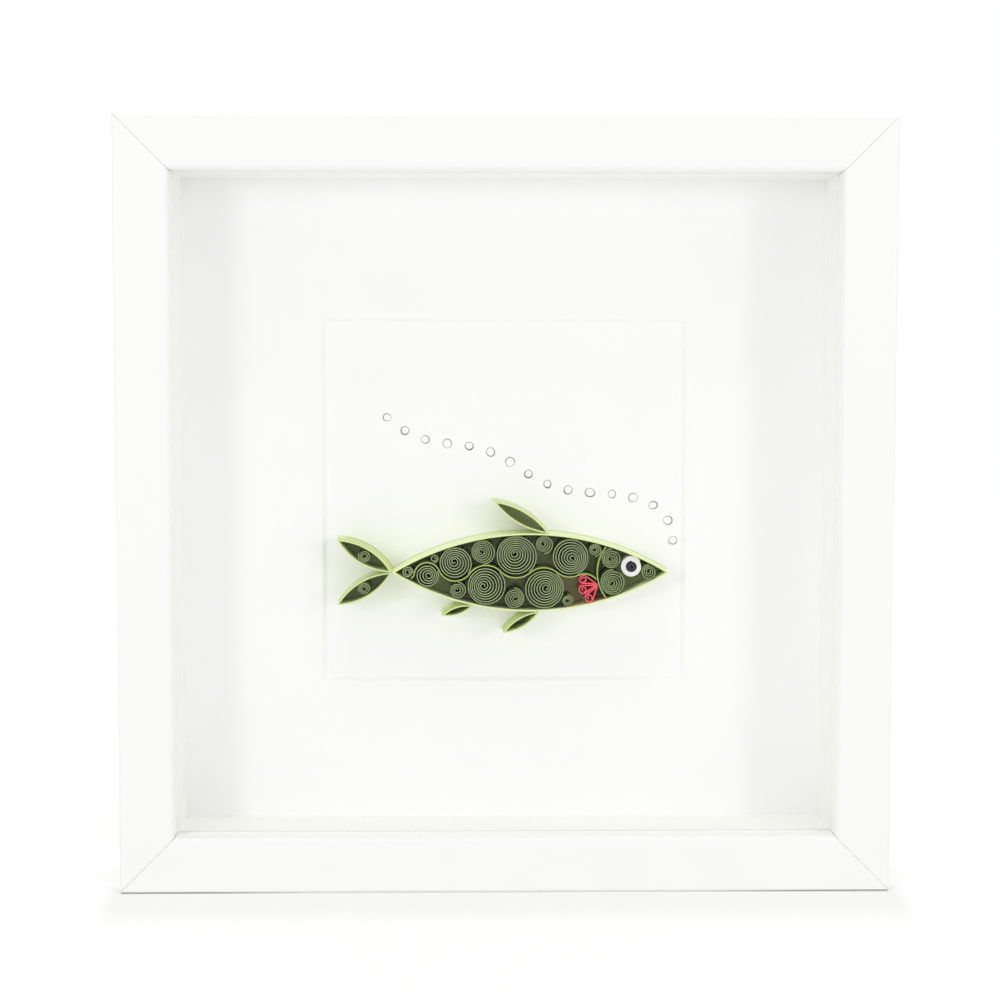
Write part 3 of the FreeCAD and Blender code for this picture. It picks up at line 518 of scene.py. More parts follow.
@dataclass(frozen=True)
class StampInk(Finish):
    """Grey drawing ink that took unevenly."""

    dark: str = "55534f"
    pale: str = "b4b2ac"

    def draw(self, graph: Graph) -> None:
        """Draws the finish in a graph."""
        place = graph.place()
        patches = graph.noise(place, 330.0, 3.0, 0.6).between(0.35, 0.7)
        grain = graph.noise(place, 5200.0, 3.0, 0.7).between(0.42, 0.66)
        tone = patches * 0.75 + grain * 0.3
        graph.surface(graph.mix(tone.least(1.0), self.dark, self.pale), 0.7 + grain * 0.15)


@dataclass(frozen=True)
class PaleFloor(Finish):
    """A matt floor with a painted shadow line where the foot touches it, and a painted glow, weakest in
    front of the object, that hides its shadows beside and behind it and fades into the white around it.
    """

    half_wide: float = 125.0
    half_deep: float = 22.5
    matt: float = 0.92
    # The painted shadow line along the foot: its grey, how wide it is, and how much of it the middle keeps
    contact_shadow_grey: float = 0.35
    contact_over: Spot = (0.6, 1.8)
    ends_over: Spot = (55.0, 105.0)
    middle_shadow_share: float = 0.34
    # Painted light: the camera-only glow near the object, beside and behind it, and far away
    near_glow: float = 0.025
    open_glow: float = 0.13
    far_glow: float = 0.4
    far_over: Spot = (0.15, 0.8)
    lit: float = 0.94

    def draw(self, graph: Graph) -> None:
        """Draws the finish in a graph."""
        across, along, _ = graph.millimetres()
        past_side = abs(across) - self.half_wide
        apart = past_side.most(abs(along) - self.half_deep)
        # Painted shadow: a dark line on the floor along the foot, fainter in the middle than towards the
        # ends
        shadow_strength = self.middle_shadow_share + abs(across).between(*self.ends_over) * (1 - self.middle_shadow_share)
        in_front = 1 - past_side.between(-1.0, 0.0)
        touching = (1 - apart.between(*self.contact_over)) * in_front * shadow_strength
        white = graph.mix(touching, grey(self.matt), grey(self.contact_shadow_grey))
        matt = graph.node("ShaderNodeBsdfDiffuse", {}, {"Color": white})
        away = graph.node("ShaderNodeVectorMath", {"operation": "LENGTH"}, {0: graph.place()}, 1)
        rising = away.between(*self.far_over) * (self.far_glow - self.near_glow)
        # Painted light: a camera-only glow, held off at the foot, stronger beside and behind the object and
        # far away, which hides its shadows there
        open_floor = past_side.between(-2.0, 8.0).most((along + self.half_deep).between(0.0, 10.0))
        level = apart.between(-1.0, 2.0) * (self.near_glow + open_floor * self.open_glow + rising)
        glow = graph.node("ShaderNodeEmission", {}, {"Color": graph.mix(level, grey(0.0), grey(1.0))})
        shown = graph.node("ShaderNodeAddShader", {}, {0: matt, 1: glow})
        pale = graph.node("ShaderNodeEmission", {}, {"Color": grey(1.0), "Strength": self.lit})
        graph.end(graph.blend(graph.ray("Is Camera Ray"), pale, shown))


class Stock(Enum):
    """The papers of the fish: slot in the record, wall, cut edge, flecks and how far the outward walls are
    painted paler to weaken their bounce light.
    """

    LIME = ("lime_strip", "f0fac8", "e8f2b0", "ecf6bc", 0.75)
    LEAF = ("leaf_strip", "8ba044", "b0c46c", "9db056", 0.0)
    SAGE = ("sage_strip", "7c9044", "a0b084", "8c9e5c", 0.0)
    MOSS = ("moss_strip", "768a3e", "9aaa7c", "869a56", 0.0)
    FIN = ("fin_strip", "d4e2a4", "deeaa4", "d8e6a6", 0.75)
    RED = ("red_strip", "ff5465", "ff7280", "ff8591", 0.0)
    WHITE = ("white_strip", "f4f3ee", "fbfaf6", "ffffff", 0.0)
    DARK = ("dark_strip", "2c2c34", "3e3e48", "44444e", 0.0)

    def slot(self) -> str:
        """The slot in the record."""
        return self.value[0]

    def finish(self) -> StripPaper:
        """The finish of this paper."""
        return StripPaper(f"Quilling paper {self.name.lower()}", *self.value[1:])


# Flat geometry


def dot_on(middle: Spot, radius: float, angle: float) -> Spot:
    """The spot at an angle on a circle."""
    return (middle[0] + radius * math.cos(angle), middle[1] + radius * math.sin(angle))


def arc_radius(half_long: float, half_high: float) -> float:
    """The radius of an arc over twice a length that rises by a height."""
    return (half_long**2 + half_high**2) / (2 * half_high)


def angle_of(middle: Spot, spot: Spot) -> float:
    """The angle of a spot seen from a middle."""
    return math.atan2(spot[1] - middle[1], spot[0] - middle[0])


def on_the_way(first: Spot, second: Spot, share: float) -> Spot:
    """The spot a share of the way from the first to the second."""
    return (first[0] + (second[0] - first[0]) * share, first[1] + (second[1] - first[1]) * share)


def arc_spots(middle: Spot, start: Spot, end: Spot, steps: int) -> list[Spot]:
    """Spots along the shorter arc around a middle.

    Args:
        middle: The arc's middle.
        start: Where it starts.
        end: Where it ends, which isn't given back.
        steps: How many spots there are.

    Returns:
        The spots from the start on.
    """
    begin = angle_of(middle, start)
    sweep = (angle_of(middle, end) - begin + math.pi) % (2 * math.pi) - math.pi
    radius = math.dist(middle, start)
    return [dot_on(middle, radius, begin + sweep * step / steps) for step in range(steps)]


@dataclass(frozen=True)
class Bend:
    """One arc of a strip's middle line, from an angle through a signed sweep."""

    middle: Spot
    radius: float
    start: float
    sweep: float


@dataclass(frozen=True)
class Circle:
    """A roll of strip, or a round face that a roll can touch, from inside where it is hollow."""

    middle: Spot
    radius: float
    hollow: bool = False

    def reach(self, roll_radius: float, gap: float) -> float:
        """How far the middle of a touching roll lies from the middle of this circle."""
        apart = roll_radius + gap
        return self.radius - apart if self.hollow else self.radius + apart

    def spare(self, middle: Spot, roll_radius: float, gap: float) -> float:
        """The room between this circle and a roll, less than nothing where they overlap."""
        room = self.reach(roll_radius, gap) - math.dist(self.middle, middle)
        return room if self.hollow else -room


def meet(first: Spot, first_reach: float, second: Spot, second_reach: float, towards: Spot) -> Spot | None:
    """Finds where two circles meet.

    Args:
        first: The middle of one circle.
        first_reach: Its radius.
        second: The middle of the other.
        second_reach: Its radius.
        towards: The direction that picks one of the two spots.

    Returns:
        The spot further along that direction, or None where they don't meet.
    """
    apart = math.dist(first, second)
    along = (apart**2 + first_reach**2 - second_reach**2) / (2 * apart)
    off_squared = first_reach**2 - along**2
    if off_squared < 0:
        return None
    angle = angle_of(first, second)
    foot = dot_on(first, along, angle)
    spots = [dot_on(foot, math.sqrt(off_squared) * sign, angle + math.pi / 2) for sign in (1, -1)]
    return max(spots, key=lambda spot: spot[0] * towards[0] + spot[1] * towards[1])


# Paper on edge


@dataclass
class Ribbon:
    """A strip on edge: the spots along its two sides, open or closed, and how far it rises along them."""

    left: list[Spot]
    right: list[Spot]
    closed: bool = False
    dome: float = 0.0


@dataclass
class PaperPiece:
    """One piece of paper or ink, made of ribbons that stand on a card."""

    name: str
    foot: float
    tall: float
    bevel: float = 0.05
    waver: float = 0.09
    ribbons: list[Ribbon] = field(default_factory=list)

    def waves(self, source: random.Random) -> list[tuple[float, float, float]]:
        """Three slow waves of the cut edge.

        Args:
            source: A seeded source of numbers.

        Returns:
            The strength, frequency and phase of each.
        """
        return [
            (
                self.waver / (rank + 1),
                (0.12 + 0.22 * rank) * source.uniform(0.8, 1.25),
                source.uniform(0, 6.28),
            )
            for rank in range(3)
        ]

    def section(self, left: Spot, right: Spot, lift: float) -> list[Vector]:
        """The corners of the strip's section at one place.

        Args:
            left: The left side's spot.
            right: The right side's spot.
            lift: How far the cut edge stands in front of its place.

        Returns:
            Seven corners from the left foot over the cut edge to the right foot.
        """
        width = max(math.dist(left, right), 1e-6)
        cut = min(self.bevel / width, 0.3)
        front = self.foot - self.tall - lift
        deep = min(self.bevel, self.tall * 0.4)
        near, top, far = [on_the_way(left, right, share) for share in (cut, 0.5, 1 - cut)]
        corners = [(left, self.foot), (left, front + deep), (near, front), (top, front - deep * 0.3)]
        corners += [(far, front), (right, front + deep), (right, self.foot)]
        return [Vector((spot[0] * MM, depth * MM, spot[1] * MM)) for spot, depth in corners]

    def add_ribbon(self, form: bmesh.types.BMesh, ribbon: Ribbon, source: random.Random) -> None:
        """Adds the faces of one ribbon.

        Args:
            form: The mesh that takes them.
            ribbon: The ribbon.
            source: A seeded source of numbers.
        """
        waves = self.waves(source)
        count = len(ribbon.left)
        walked = 0.0
        rings: list[list[bmesh.types.BMVert]] = []
        before = ribbon.left[0]
        for place, (left, right) in enumerate(zip(ribbon.left, ribbon.right)):
            walked += math.dist(before, left)
            before = left
            ease = math.sin(math.pi * place / count) ** 0.5 if ribbon.closed else 1.0
            lift = sum(size * math.sin(speed * walked + phase) for size, speed, phase in waves) * ease
            lift += ribbon.dome * place / count
            rings.append([form.verts.new(corner) for corner in self.section(left, right, lift)])
        pairs = list(zip(rings, rings[1:]))
        if ribbon.closed:
            pairs.append((rings[-1], rings[0]))
        else:
            form.faces.new(rings[0])
            form.faces.new(rings[-1][::-1])
        for first, second in pairs:
            for low in range(len(first)):
                high = (low + 1) % len(first)
                form.faces.new((first[low], second[low], second[high], first[high]))

    def make(self, shift: Spot) -> bpy.types.Object:
        """Makes the piece's object.

        Args:
            shift: Where the spots are counted from.

        Returns:
            The object, in place.
        """
        form = bmesh.new()
        source = random.Random(self.name)
        for ribbon in self.ribbons:
            self.add_ribbon(form, ribbon, source)
        bmesh.ops.translate(form, vec=Vector((shift[0] * MM, 0.0, shift[1] * MM)), verts=form.verts[:])
        return to_object(form, self.name)


def add_object(name: str, data: bpy.types.ID) -> bpy.types.Object:
    """Adds an object with the given data to the scene.

    Args:
        name: Its name.
        data: Its mesh, lamp or camera.

    Returns:
        The object.
    """
    made = bpy.data.objects.new(name, data)
    bpy.context.scene.collection.objects.link(made)
    return made


def to_object(form: bmesh.types.BMesh, name: str) -> bpy.types.Object:
    """Turns a mesh into an object with smooth faces and sharp corners.

    Args:
        form: The mesh, which is used up.
        name: The object's name.

    Returns:
        The object.
    """
    bmesh.ops.recalc_face_normals(form, faces=form.faces[:])
    for face in form.faces:
        face.smooth = True
    for edge in form.edges:
        edge.smooth = edge.calc_face_angle(0.0) < CORNER_FROM
    mesh = bpy.data.meshes.new(name)
    form.to_mesh(mesh)
    form.free()
    return add_object(name, mesh)


def hand_over(piece: bpy.types.Object, finish: Finish, slot: str, *nodes: str) -> None:
    """Dresses a piece and puts it in place of the solids it stands for.

    Args:
        piece: The piece.
        finish: Its finish.
        slot: The record's slot that the finish comes from; not used.
        nodes: The solids that it replaces.
    """
    piece.data.materials.append(finish.material())
    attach(piece, "root")
    if nodes:
        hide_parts(*nodes)
    log.info("%s: %d faces, %s", piece.name, len(piece.data.polygons), finish.name)


def dress(finish: Finish, nodes: Iterable[str]) -> None:
    """Lays a finish on solids that stay.

    Args:
        finish: The finish.
        nodes: Their names.
    """
    for name in nodes:
        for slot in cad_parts[name].material_slots:
            slot.material = finish.material()
        log.info("%s: %s", name, finish.name)


@dataclass
class FishPlan:
    """The flat layout of the fish: an almond body filled by a running stem with its rolls."""

    gap: float = 0.1
    thin: float = 0.4
    outline: float = 0.5
    long: float = 92.0
    high: float = 26.0
    gill_radius: float = 14.0
    gill_place: float = 24.0
    eye_place: float = 12.5
    eye_radius: float = 3.5
    pupil_radius: float = 1.6
    fan_radius: float = 4.8
    petal_spread: float = 38.0
    petal_taper: float = 17.0
    last_roll: float = 2.0
    roll_count: int = 7
    shares: tuple[float, float] = (0.5, 0.7)
    look_ahead: float = 0.9
    halvings: int = 40
    stem_wrap: float = 50.0
    tail_long: float = 21.0
    tail_high: float = 5.4
    tail_turn: float = 31.0
    fin_lift: float = 3.0

    def __post_init__(self) -> None:
        """Works out the body's arcs and the round faces that the rolls touch."""
        self.half_long = self.long / 2
        self.half_high = self.high / 2
        self.radius = arc_radius(self.half_long, self.half_high)
        self.drop = self.radius - self.half_high
        self.root = (-self.half_long, 0.0)
        hollow = self.radius - self.outline
        self.back = Circle((0.0, -self.drop), hollow, True)
        self.belly = Circle((0.0, self.drop), hollow, True)
        gill_middle = (self.half_long - self.gill_place + self.gill_radius, 0.0)
        self.gill = Circle(gill_middle, self.gill_radius)
        self.cheek = Circle(gill_middle, self.gill_radius - self.thin, True)

    def seat(self, first: Circle, second: Circle, radius: float, towards: Spot) -> Spot | None:
        """The middle of a roll that touches two circles."""
        first_reach = first.reach(radius, self.gap)
        return meet(first.middle, first_reach, second.middle, second.reach(radius, self.gap), towards)

    def largest(
        self, first: Circle, second: Circle, others: Sequence[Circle], towards: Spot
    ) -> Circle | None:
        """Finds the largest roll that touches two circles and clears the others.

        Args:
            first: One circle it touches.
            second: The other circle it touches.
            others: Circles it clears.
            towards: The side of the two circles it lies on.

        Returns:
            The roll, or None where there is no room.
        """
        low = 0.0
        high = self.half_high
        best = None
        for _ in range(self.halvings):
            radius = (low + high) / 2
            middle = self.seat(first, second, radius, towards)
            if middle and all(other.spare(middle, radius, self.gap) >= 0 for other in others):
                low = radius
                best = Circle(middle, radius)
            else:
                high = radius
        return best

    def stem_around(self, roll: Circle) -> Circle:
        """The outer face of the stem where it bends around a roll."""
        return Circle(roll.middle, roll.radius + self.gap + self.thin)

    def eye(self) -> Spot:
        """The middle of the eye, which touches the back."""
        across = self.half_long - self.eye_place
        reach = self.back.reach(self.eye_radius, self.gap)
        return (across, self.back.middle[1] + math.sqrt(reach**2 - across**2))

    def head_rolls(self) -> dict[str, Circle]:
        """Lays the small rolls around the eye.

        Returns:
            Each roll by its node.
        """
        eye_wall = [Circle(self.eye(), self.eye_radius)]
        return {
            "cheek_roll_upper": self.largest(self.back, self.cheek, eye_wall, (-1, 1)),
            "cheek_roll_lower": self.largest(self.belly, self.cheek, eye_wall, (-1, -1)),
            "nose_roll": self.largest(self.back, self.belly, eye_wall, (1, 0)),
        }

    def gill_bend(self) -> Bend:
        """The arc of the strip behind the head."""
        line = self.gill.radius - self.thin / 2
        edge = self.back.radius - self.gap - self.thin / 2
        top = meet(self.gill.middle, line, self.back.middle, edge, (-1, 1))
        start = angle_of(self.gill.middle, top)
        return Bend(self.gill.middle, line, start, 2 * (math.pi - start))

    def chain(self, share: float) -> list[Circle] | None:
        """Lays rolls in turn under the back and over the belly.

        Args:
            share: Their share of the body's height where they lie.

        Returns:
            The rolls from the fan to the tail, or None where they don't fit.
        """
        first = self.seat(self.belly, self.gill, self.fan_radius, (-1, 0))
        rolls = [Circle(first, self.fan_radius)]
        for number in range(self.roll_count - 1):
            last = rolls[-1]
            edge, far_edge = (self.belly, self.back) if number % 2 else (self.back, self.belly)
            across = last.middle[0] - self.look_ahead * last.radius
            if abs(across) > self.half_long:
                return None
            wanted = share * (math.sqrt(self.back.radius**2 - across**2) + self.back.middle[1])
            seated = self.seat(edge, self.stem_around(last), wanted, (-1, 0))
            if seated is None or far_edge.spare(seated, wanted, self.gap) < 0:
                return None
            rolls.append(Circle(seated, wanted))
        tail_end = self.largest(self.back, self.belly, [self.stem_around(rolls[-1])], (-1, 0))
        return rolls + [tail_end] if tail_end else None

    def large_rolls(self) -> list[Circle]:
        """Sizes the chain so that its last roll fills the tail's root.

        Returns:
            The circle of the fan, then the large rolls.
        """
        low, high = self.shares
        best = None
        for _ in range(self.halvings):
            share = (low + high) / 2
            rolls = self.chain(share)
            if rolls and rolls[-1].radius >= self.last_roll:
                low = share
                best = rolls
            else:
                high = share
        return best

    def small_rolls(self, rolls: Sequence[Circle]) -> list[Circle]:
        """Lays a small roll in each space between two large ones and the outline.

        Args:
            rolls: The circle of the fan and the large rolls.

        Returns:
            The small rolls in order.
        """
        small = []
        for number, roll in enumerate(rolls[:-1]):
            edge = self.belly if number % 2 else self.back
            ahead = rolls[number - 1] if number else self.gill
            others = [rolls[number + 1], self.stem_around(roll)]
            small.append(self.largest(edge, ahead, others, (-1, 0)))
        return small

    def joints(self, rolls: Sequence[Circle]) -> list[Spot]:
        """The spots where the stem passes from one roll to the next."""
        half = self.gap + self.thin / 2
        return [
            on_the_way(one.middle, two.middle, (one.radius + half) / (one.radius + two.radius + 2 * half))
            for one, two in zip(rolls, rolls[1:])
        ]

    def stem(self, rolls: Sequence[Circle]) -> list[Bend]:
        """Runs the stem along the rolls.

        Args:
            rolls: The circle of the fan and the large rolls.

        Returns:
            The stem's bends from the head to the tail.
        """
        joints = self.joints(rolls)
        half = self.gap + self.thin / 2
        first = rolls[0]
        start = meet(first.middle, first.radius + half, self.gill.middle, self.gill.radius + half, (0, 1))
        bends = []
        for number, (roll, begin_at, end_at) in enumerate(zip(rolls, [start] + joints, joints)):
            way = -1 if number % 2 else 1
            begin = angle_of(roll.middle, begin_at)
            sweep = (angle_of(roll.middle, end_at) - begin) * way % (2 * math.pi)
            bends.append(Bend(roll.middle, roll.radius + half, begin, way * sweep))
        last = rolls[-1]
        way = 1 if len(rolls) % 2 else -1
        wrap = way * math.radians(self.stem_wrap)
        bends.append(Bend(last.middle, last.radius + half, angle_of(last.middle, joints[-1]), wrap))
        return bends


class Fin(Enum):
    """The fins: node, length, height, place along the body, and the side of it they grow from."""

    BACK = ("back_fin", 21.0, 4.4, 6.0, 1)
    FRONT = ("belly_fin_front", 14.0, 3.2, 3.0, -1)
    REAR = ("belly_fin_rear", 11.0, 2.7, -19.0, -1)


@dataclass
class QuilledFish:
    """The paper fish that stands on the card."""

    plan: FishPlan = field(default_factory=FishPlan)
    middle: Spot = FISH_MIDDLE
    foot: float = BASE_FRONT
    strip_tall: float = 14.0
    fill_tall: float = 13.2
    turn_steps: int = 52
    bend_step: float = 4.0
    large_pitch: float = 0.82
    small_pitch: float = 0.7
    tight_pitch: float = 0.6
    tight_limit: float = 2.5
    core: float = 0.3
    drift: float = 0.14
    slack: float = 0.45
    ripple: float = 0.35
    beats: Spot = (1.6, 2.6)
    roll_thin: float = 0.82
    tight_turn: float = 0.3
    tight_thick: float = 0.27
    pupil_room: float = 0.35
    petal_thin: float = 0.8
    petal_pitch: float = 0.62
    flank_steps: int = 10
    round_steps: int = 48

    def stand(self, node: str, stock: Stock, ribbons: list[Ribbon], tall: float, **looks: float) -> None:
        """Stands a piece up in place of its solid.

        Args:
            node: The solid.
            stock: The paper.
            ribbons: The strips of the piece.
            tall: How tall they stand.
            looks: Other sizes of the piece.
        """
        piece = PaperPiece(f"paper_{node}", self.foot, tall, ribbons=ribbons, **looks).make(self.middle)
        hand_over(piece, stock.finish(), stock.slot(), node)

    def along(self, bends: Sequence[Bend], thick: float) -> Ribbon:
        """A strip that follows bends.

        Args:
            bends: The bends, which run smoothly into each other.
            thick: The strip's thickness.

        Returns:
            The open ribbon.
        """
        left: list[Spot] = []
        right: list[Spot] = []
        for bend in bends:
            steps = max(2, math.ceil(abs(math.degrees(bend.sweep)) / self.bend_step))
            offset = math.copysign(thick / 2, bend.sweep)
            for step in range(1 if left else 0, steps + 1):
                angle = bend.start + bend.sweep * step / steps
                left.append(dot_on(bend.middle, bend.radius - offset, angle))
                right.append(dot_on(bend.middle, bend.radius + offset, angle))
        return Ribbon(left, right)

    def wound(self, roll: Circle, pitch: float, start: float, way: int, thick: float, seed: str) -> Ribbon:
        """A strip wound inwards from its outer end, as by hand: its turns lie a little off the middle.

        Args:
            roll: The circle that it fills.
            pitch: The distance between turns.
            start: The angle of its outer end.
            way: 1 for anticlockwise, -1 for clockwise.
            thick: The strip's thickness.
            seed: A name for the roll's own irregularity.

        Returns:
            The open ribbon.
        """
        source = random.Random(seed)
        lean = source.uniform(0, 2 * math.pi)
        turns = (roll.radius - thick - self.core) / pitch
        room = (pitch - thick) * self.slack
        steps = max(8, int(turns * self.turn_steps))
        beat = source.uniform(*self.beats)
        left = []
        right = []
        for step in range(steps + 1):
            turn = turns * step / steps
            angle = start + way * 2 * math.pi * turn
            away = min(self.drift * roll.radius, room * turns) * turn / max(turns, 1e-6)
            middle = dot_on(roll.middle, away, lean)
            ripple = room * self.ripple * math.sin(beat * angle + lean) * min(1.0, turn)
            reach = roll.radius - pitch * turn + ripple * (1 - turn / turns)
            left.append(dot_on(middle, reach, angle))
            right.append(dot_on(middle, max(reach - thick, 0.02), angle))
        return Ribbon(left, right)

    def roll(self, node: str, roll: Circle, pitch: float, start: float, way: int, stock: Stock) -> None:
        """One roll of thin strip that fills its circle.

        Args:
            node: The solid.
            roll: Its circle.
            pitch: The distance between turns.
            start: The angle of its outer end.
            way: 1 for anticlockwise, -1 for clockwise.
            stock: The paper.
        """
        used = self.tight_pitch if roll.radius < self.tight_limit else pitch
        ribbon = self.wound(roll, used, start, way, self.plan.thin * self.roll_thin, node)
        self.stand(node, stock, [ribbon], self.fill_tall)

    def leaf_loop(
        self, tip: Spot, angle: float, half_long: float, half_high: float, inset: float
    ) -> list[Spot]:
        """The edge of a leaf that starts at a tip.

        Args:
            tip: Where it starts.
            angle: Where it points.
            half_long: Half its length.
            half_high: Half its height.
            inset: How far the edge is drawn in.

        Returns:
            Spots once around.
        """
        radius = arc_radius(half_long, half_high)
        middle = dot_on(tip, half_long, angle)
        drop = radius - half_high
        reach = math.sqrt((radius - inset) ** 2 - drop**2)
        near = dot_on(middle, -reach, angle)
        far = dot_on(middle, reach, angle)
        steps = max(24, int(half_long * 2.5))
        lower = dot_on(middle, drop, angle - math.pi / 2)
        upper = dot_on(middle, drop, angle + math.pi / 2)
        return arc_spots(lower, near, far, steps) + arc_spots(upper, far, near, steps)

    def leaf(self, tip: Spot, angle: float, half_long: float, half_high: float, thick: float) -> Ribbon:
        """A strip bent into a leaf."""
        outer = self.leaf_loop(tip, angle, half_long, half_high, 0.0)
        return Ribbon(outer, self.leaf_loop(tip, angle, half_long, half_high, thick), True)

    def build_outline(self) -> None:
        """The bright strip around the body and the strip behind the head."""
        plan = self.plan
        body = self.leaf(plan.root, 0.0, plan.half_long, plan.half_high, plan.outline)
        self.stand("body_outline", Stock.LIME, [body], self.strip_tall)
        gill = self.along([plan.gill_bend()], plan.thin)
        self.stand("gill_strip", Stock.LEAF, [gill], self.fill_tall)

    def build_head(self) -> None:
        """The eye and the small rolls around it."""
        plan = self.plan
        eye = plan.eye()
        thick = self.tight_thick
        white = self.wound(Circle(eye, plan.eye_radius), self.tight_turn, 0.6, 1, thick, "eye")
        turns = (plan.eye_radius - plan.pupil_radius - self.pupil_room) / self.tight_turn
        keep = int(turns * self.turn_steps)
        ring = Ribbon(white.left[:keep], white.right[:keep], dome=0.1)
        self.stand("eye_white", Stock.WHITE, [ring], self.fill_tall, bevel=0.07, waver=0.02)
        core = self.wound(Circle(eye, plan.pupil_radius), self.tight_turn, 2.0, 1, thick, "pupil")
        core.dome = 0.25
        self.stand("eye_core", Stock.DARK, [core], self.fill_tall, bevel=0.07, waver=0.02)
        for node, roll in plan.head_rolls().items():
            self.roll(node, roll, self.small_pitch, math.pi / 2, 1, Stock.MOSS)

    def build_petals(self, circle: Circle) -> None:
        """Three red petals that spread from a spot behind the gill.

        Args:
            circle: The circle that they fill.
        """
        plan = self.plan
        heading = angle_of(plan.gill.middle, circle.middle)
        root = dot_on(circle.middle, -circle.radius, heading)
        spread = math.radians(plan.petal_spread)
        taper = math.radians(plan.petal_taper)
        stretch = 1 / math.sin(taper)
        room = 2 * (circle.radius - plan.gap)
        radius = room * (stretch * math.cos(spread) - 1) / (stretch**2 - 1)
        thick = plan.thin * self.petal_thin
        for number, side in enumerate((-1, 0, 1), start=1):
            angle = heading + side * spread
            tip = dot_on(root, plan.gap, angle)
            outer = self.drop_loop(tip, angle, radius, taper, 0.0)
            drop = Ribbon(outer, self.drop_loop(tip, angle, radius, taper, thick), True)
            core = Circle(dot_on(tip, radius * stretch, angle), radius - thick - 0.02)
            curl = self.wound(core, self.petal_pitch, angle + math.pi / 2, 1, thick, f"petal {number}")
            self.stand(f"petal_{number}", Stock.RED, [drop, curl], self.fill_tall)

    def drop_loop(self, tip: Spot, angle: float, radius: float, taper: float, inset: float) -> list[Spot]:
        """The edge of a petal with its tip at a spot.

        Args:
            tip: The spot.
            angle: Where the petal points.
            radius: The radius of its round end.
            taper: Half the angle at its tip.
            inset: How far the edge is drawn in.

        Returns:
            Spots once around.
        """
        middle = dot_on(tip, radius / math.sin(taper), angle)
        reach = radius - inset
        point = dot_on(middle, -reach / math.sin(taper), angle)
        side = math.pi / 2 + taper
        right = dot_on(middle, reach, angle - side)
        left = dot_on(middle, reach, angle + side)
        sweep = 2 * side
        flank = [step / self.flank_steps for step in range(self.flank_steps)]
        loop = [on_the_way(point, right, share) for share in flank]
        bend = [sweep * step / self.round_steps for step in range(self.round_steps)]
        loop += [dot_on(middle, reach, angle - side + turned) for turned in bend]
        return loop + [on_the_way(left, point, share) for share in flank]

    def build_filling(self) -> None:
        """The fan, the running stem, the large rolls and the small ones between them."""
        rolls = self.plan.large_rolls()
        self.build_petals(rolls[0])
        stem = self.along(self.plan.stem(rolls), self.plan.thin)
        self.stand("running_stem", Stock.LEAF, [stem], self.fill_tall)
        joints = self.plan.joints(rolls)
        for number, roll in enumerate(rolls[1:], start=1):
            way = 1 if number % 2 else -1
            start = angle_of(roll.middle, joints[number - 1])
            self.roll(f"large_roll_{number}", roll, self.large_pitch, start, way, Stock.SAGE)
        for number, roll in enumerate(self.plan.small_rolls(rolls)):
            way = -1 if number % 2 else 1
            start = -math.pi / 2 * way
            self.roll(f"small_roll_{number + 1}", roll, self.small_pitch, start, way, Stock.MOSS)

    def build_tail(self) -> None:
        """The two lobes of the tail with a roll in each."""
        plan = self.plan
        for label, side in (("upper", 1), ("lower", -1)):
            angle = math.pi - side * math.radians(plan.tail_turn)
            tip = dot_on(plan.root, plan.gap, angle)
            lobe = self.leaf(tip, angle, plan.tail_long / 2, plan.tail_high / 2, plan.thin)
            self.stand(f"tail_lobe_{label}", Stock.FIN, [lobe], self.strip_tall)
            middle = dot_on(plan.root, plan.gap + plan.tail_long / 2, angle)
            roll = Circle(middle, plan.tail_high / 2 - plan.thin - plan.gap)
            self.roll(f"tail_roll_{label}", roll, self.small_pitch, angle, side, Stock.MOSS)

    def build_fins(self) -> None:
        """The fin on the back and the two under the belly."""
        plan = self.plan
        for fin in Fin:
            node, length, high, place, side = fin.value
            half_long = length / 2
            half_high = high / 2
            slope = math.asin(place / plan.radius)
            tip = dot_on((0.0, -side * plan.drop), plan.radius + plan.gap, side * (math.pi / 2 - slope))
            lift = math.asin(half_long / arc_radius(half_long, half_high)) + math.radians(plan.fin_lift)
            angle = math.pi - side * (slope + lift)
            leaf = self.leaf(tip, angle, half_long, half_high, plan.thin)
            self.stand(node, Stock.FIN, [leaf], self.strip_tall)

    def build(self) -> None:
        """Builds and dresses the whole fish."""
        self.build_outline()
        self.build_head()
        self.build_filling()
        self.build_tail()
        self.build_fins()
        card = SheetPaper("Pale lime card", "e6efc0", "dbe7ac", "f8faec", tooth=2600.0, tooth_deep=0.04)
        dress(card, ["fish_base"])


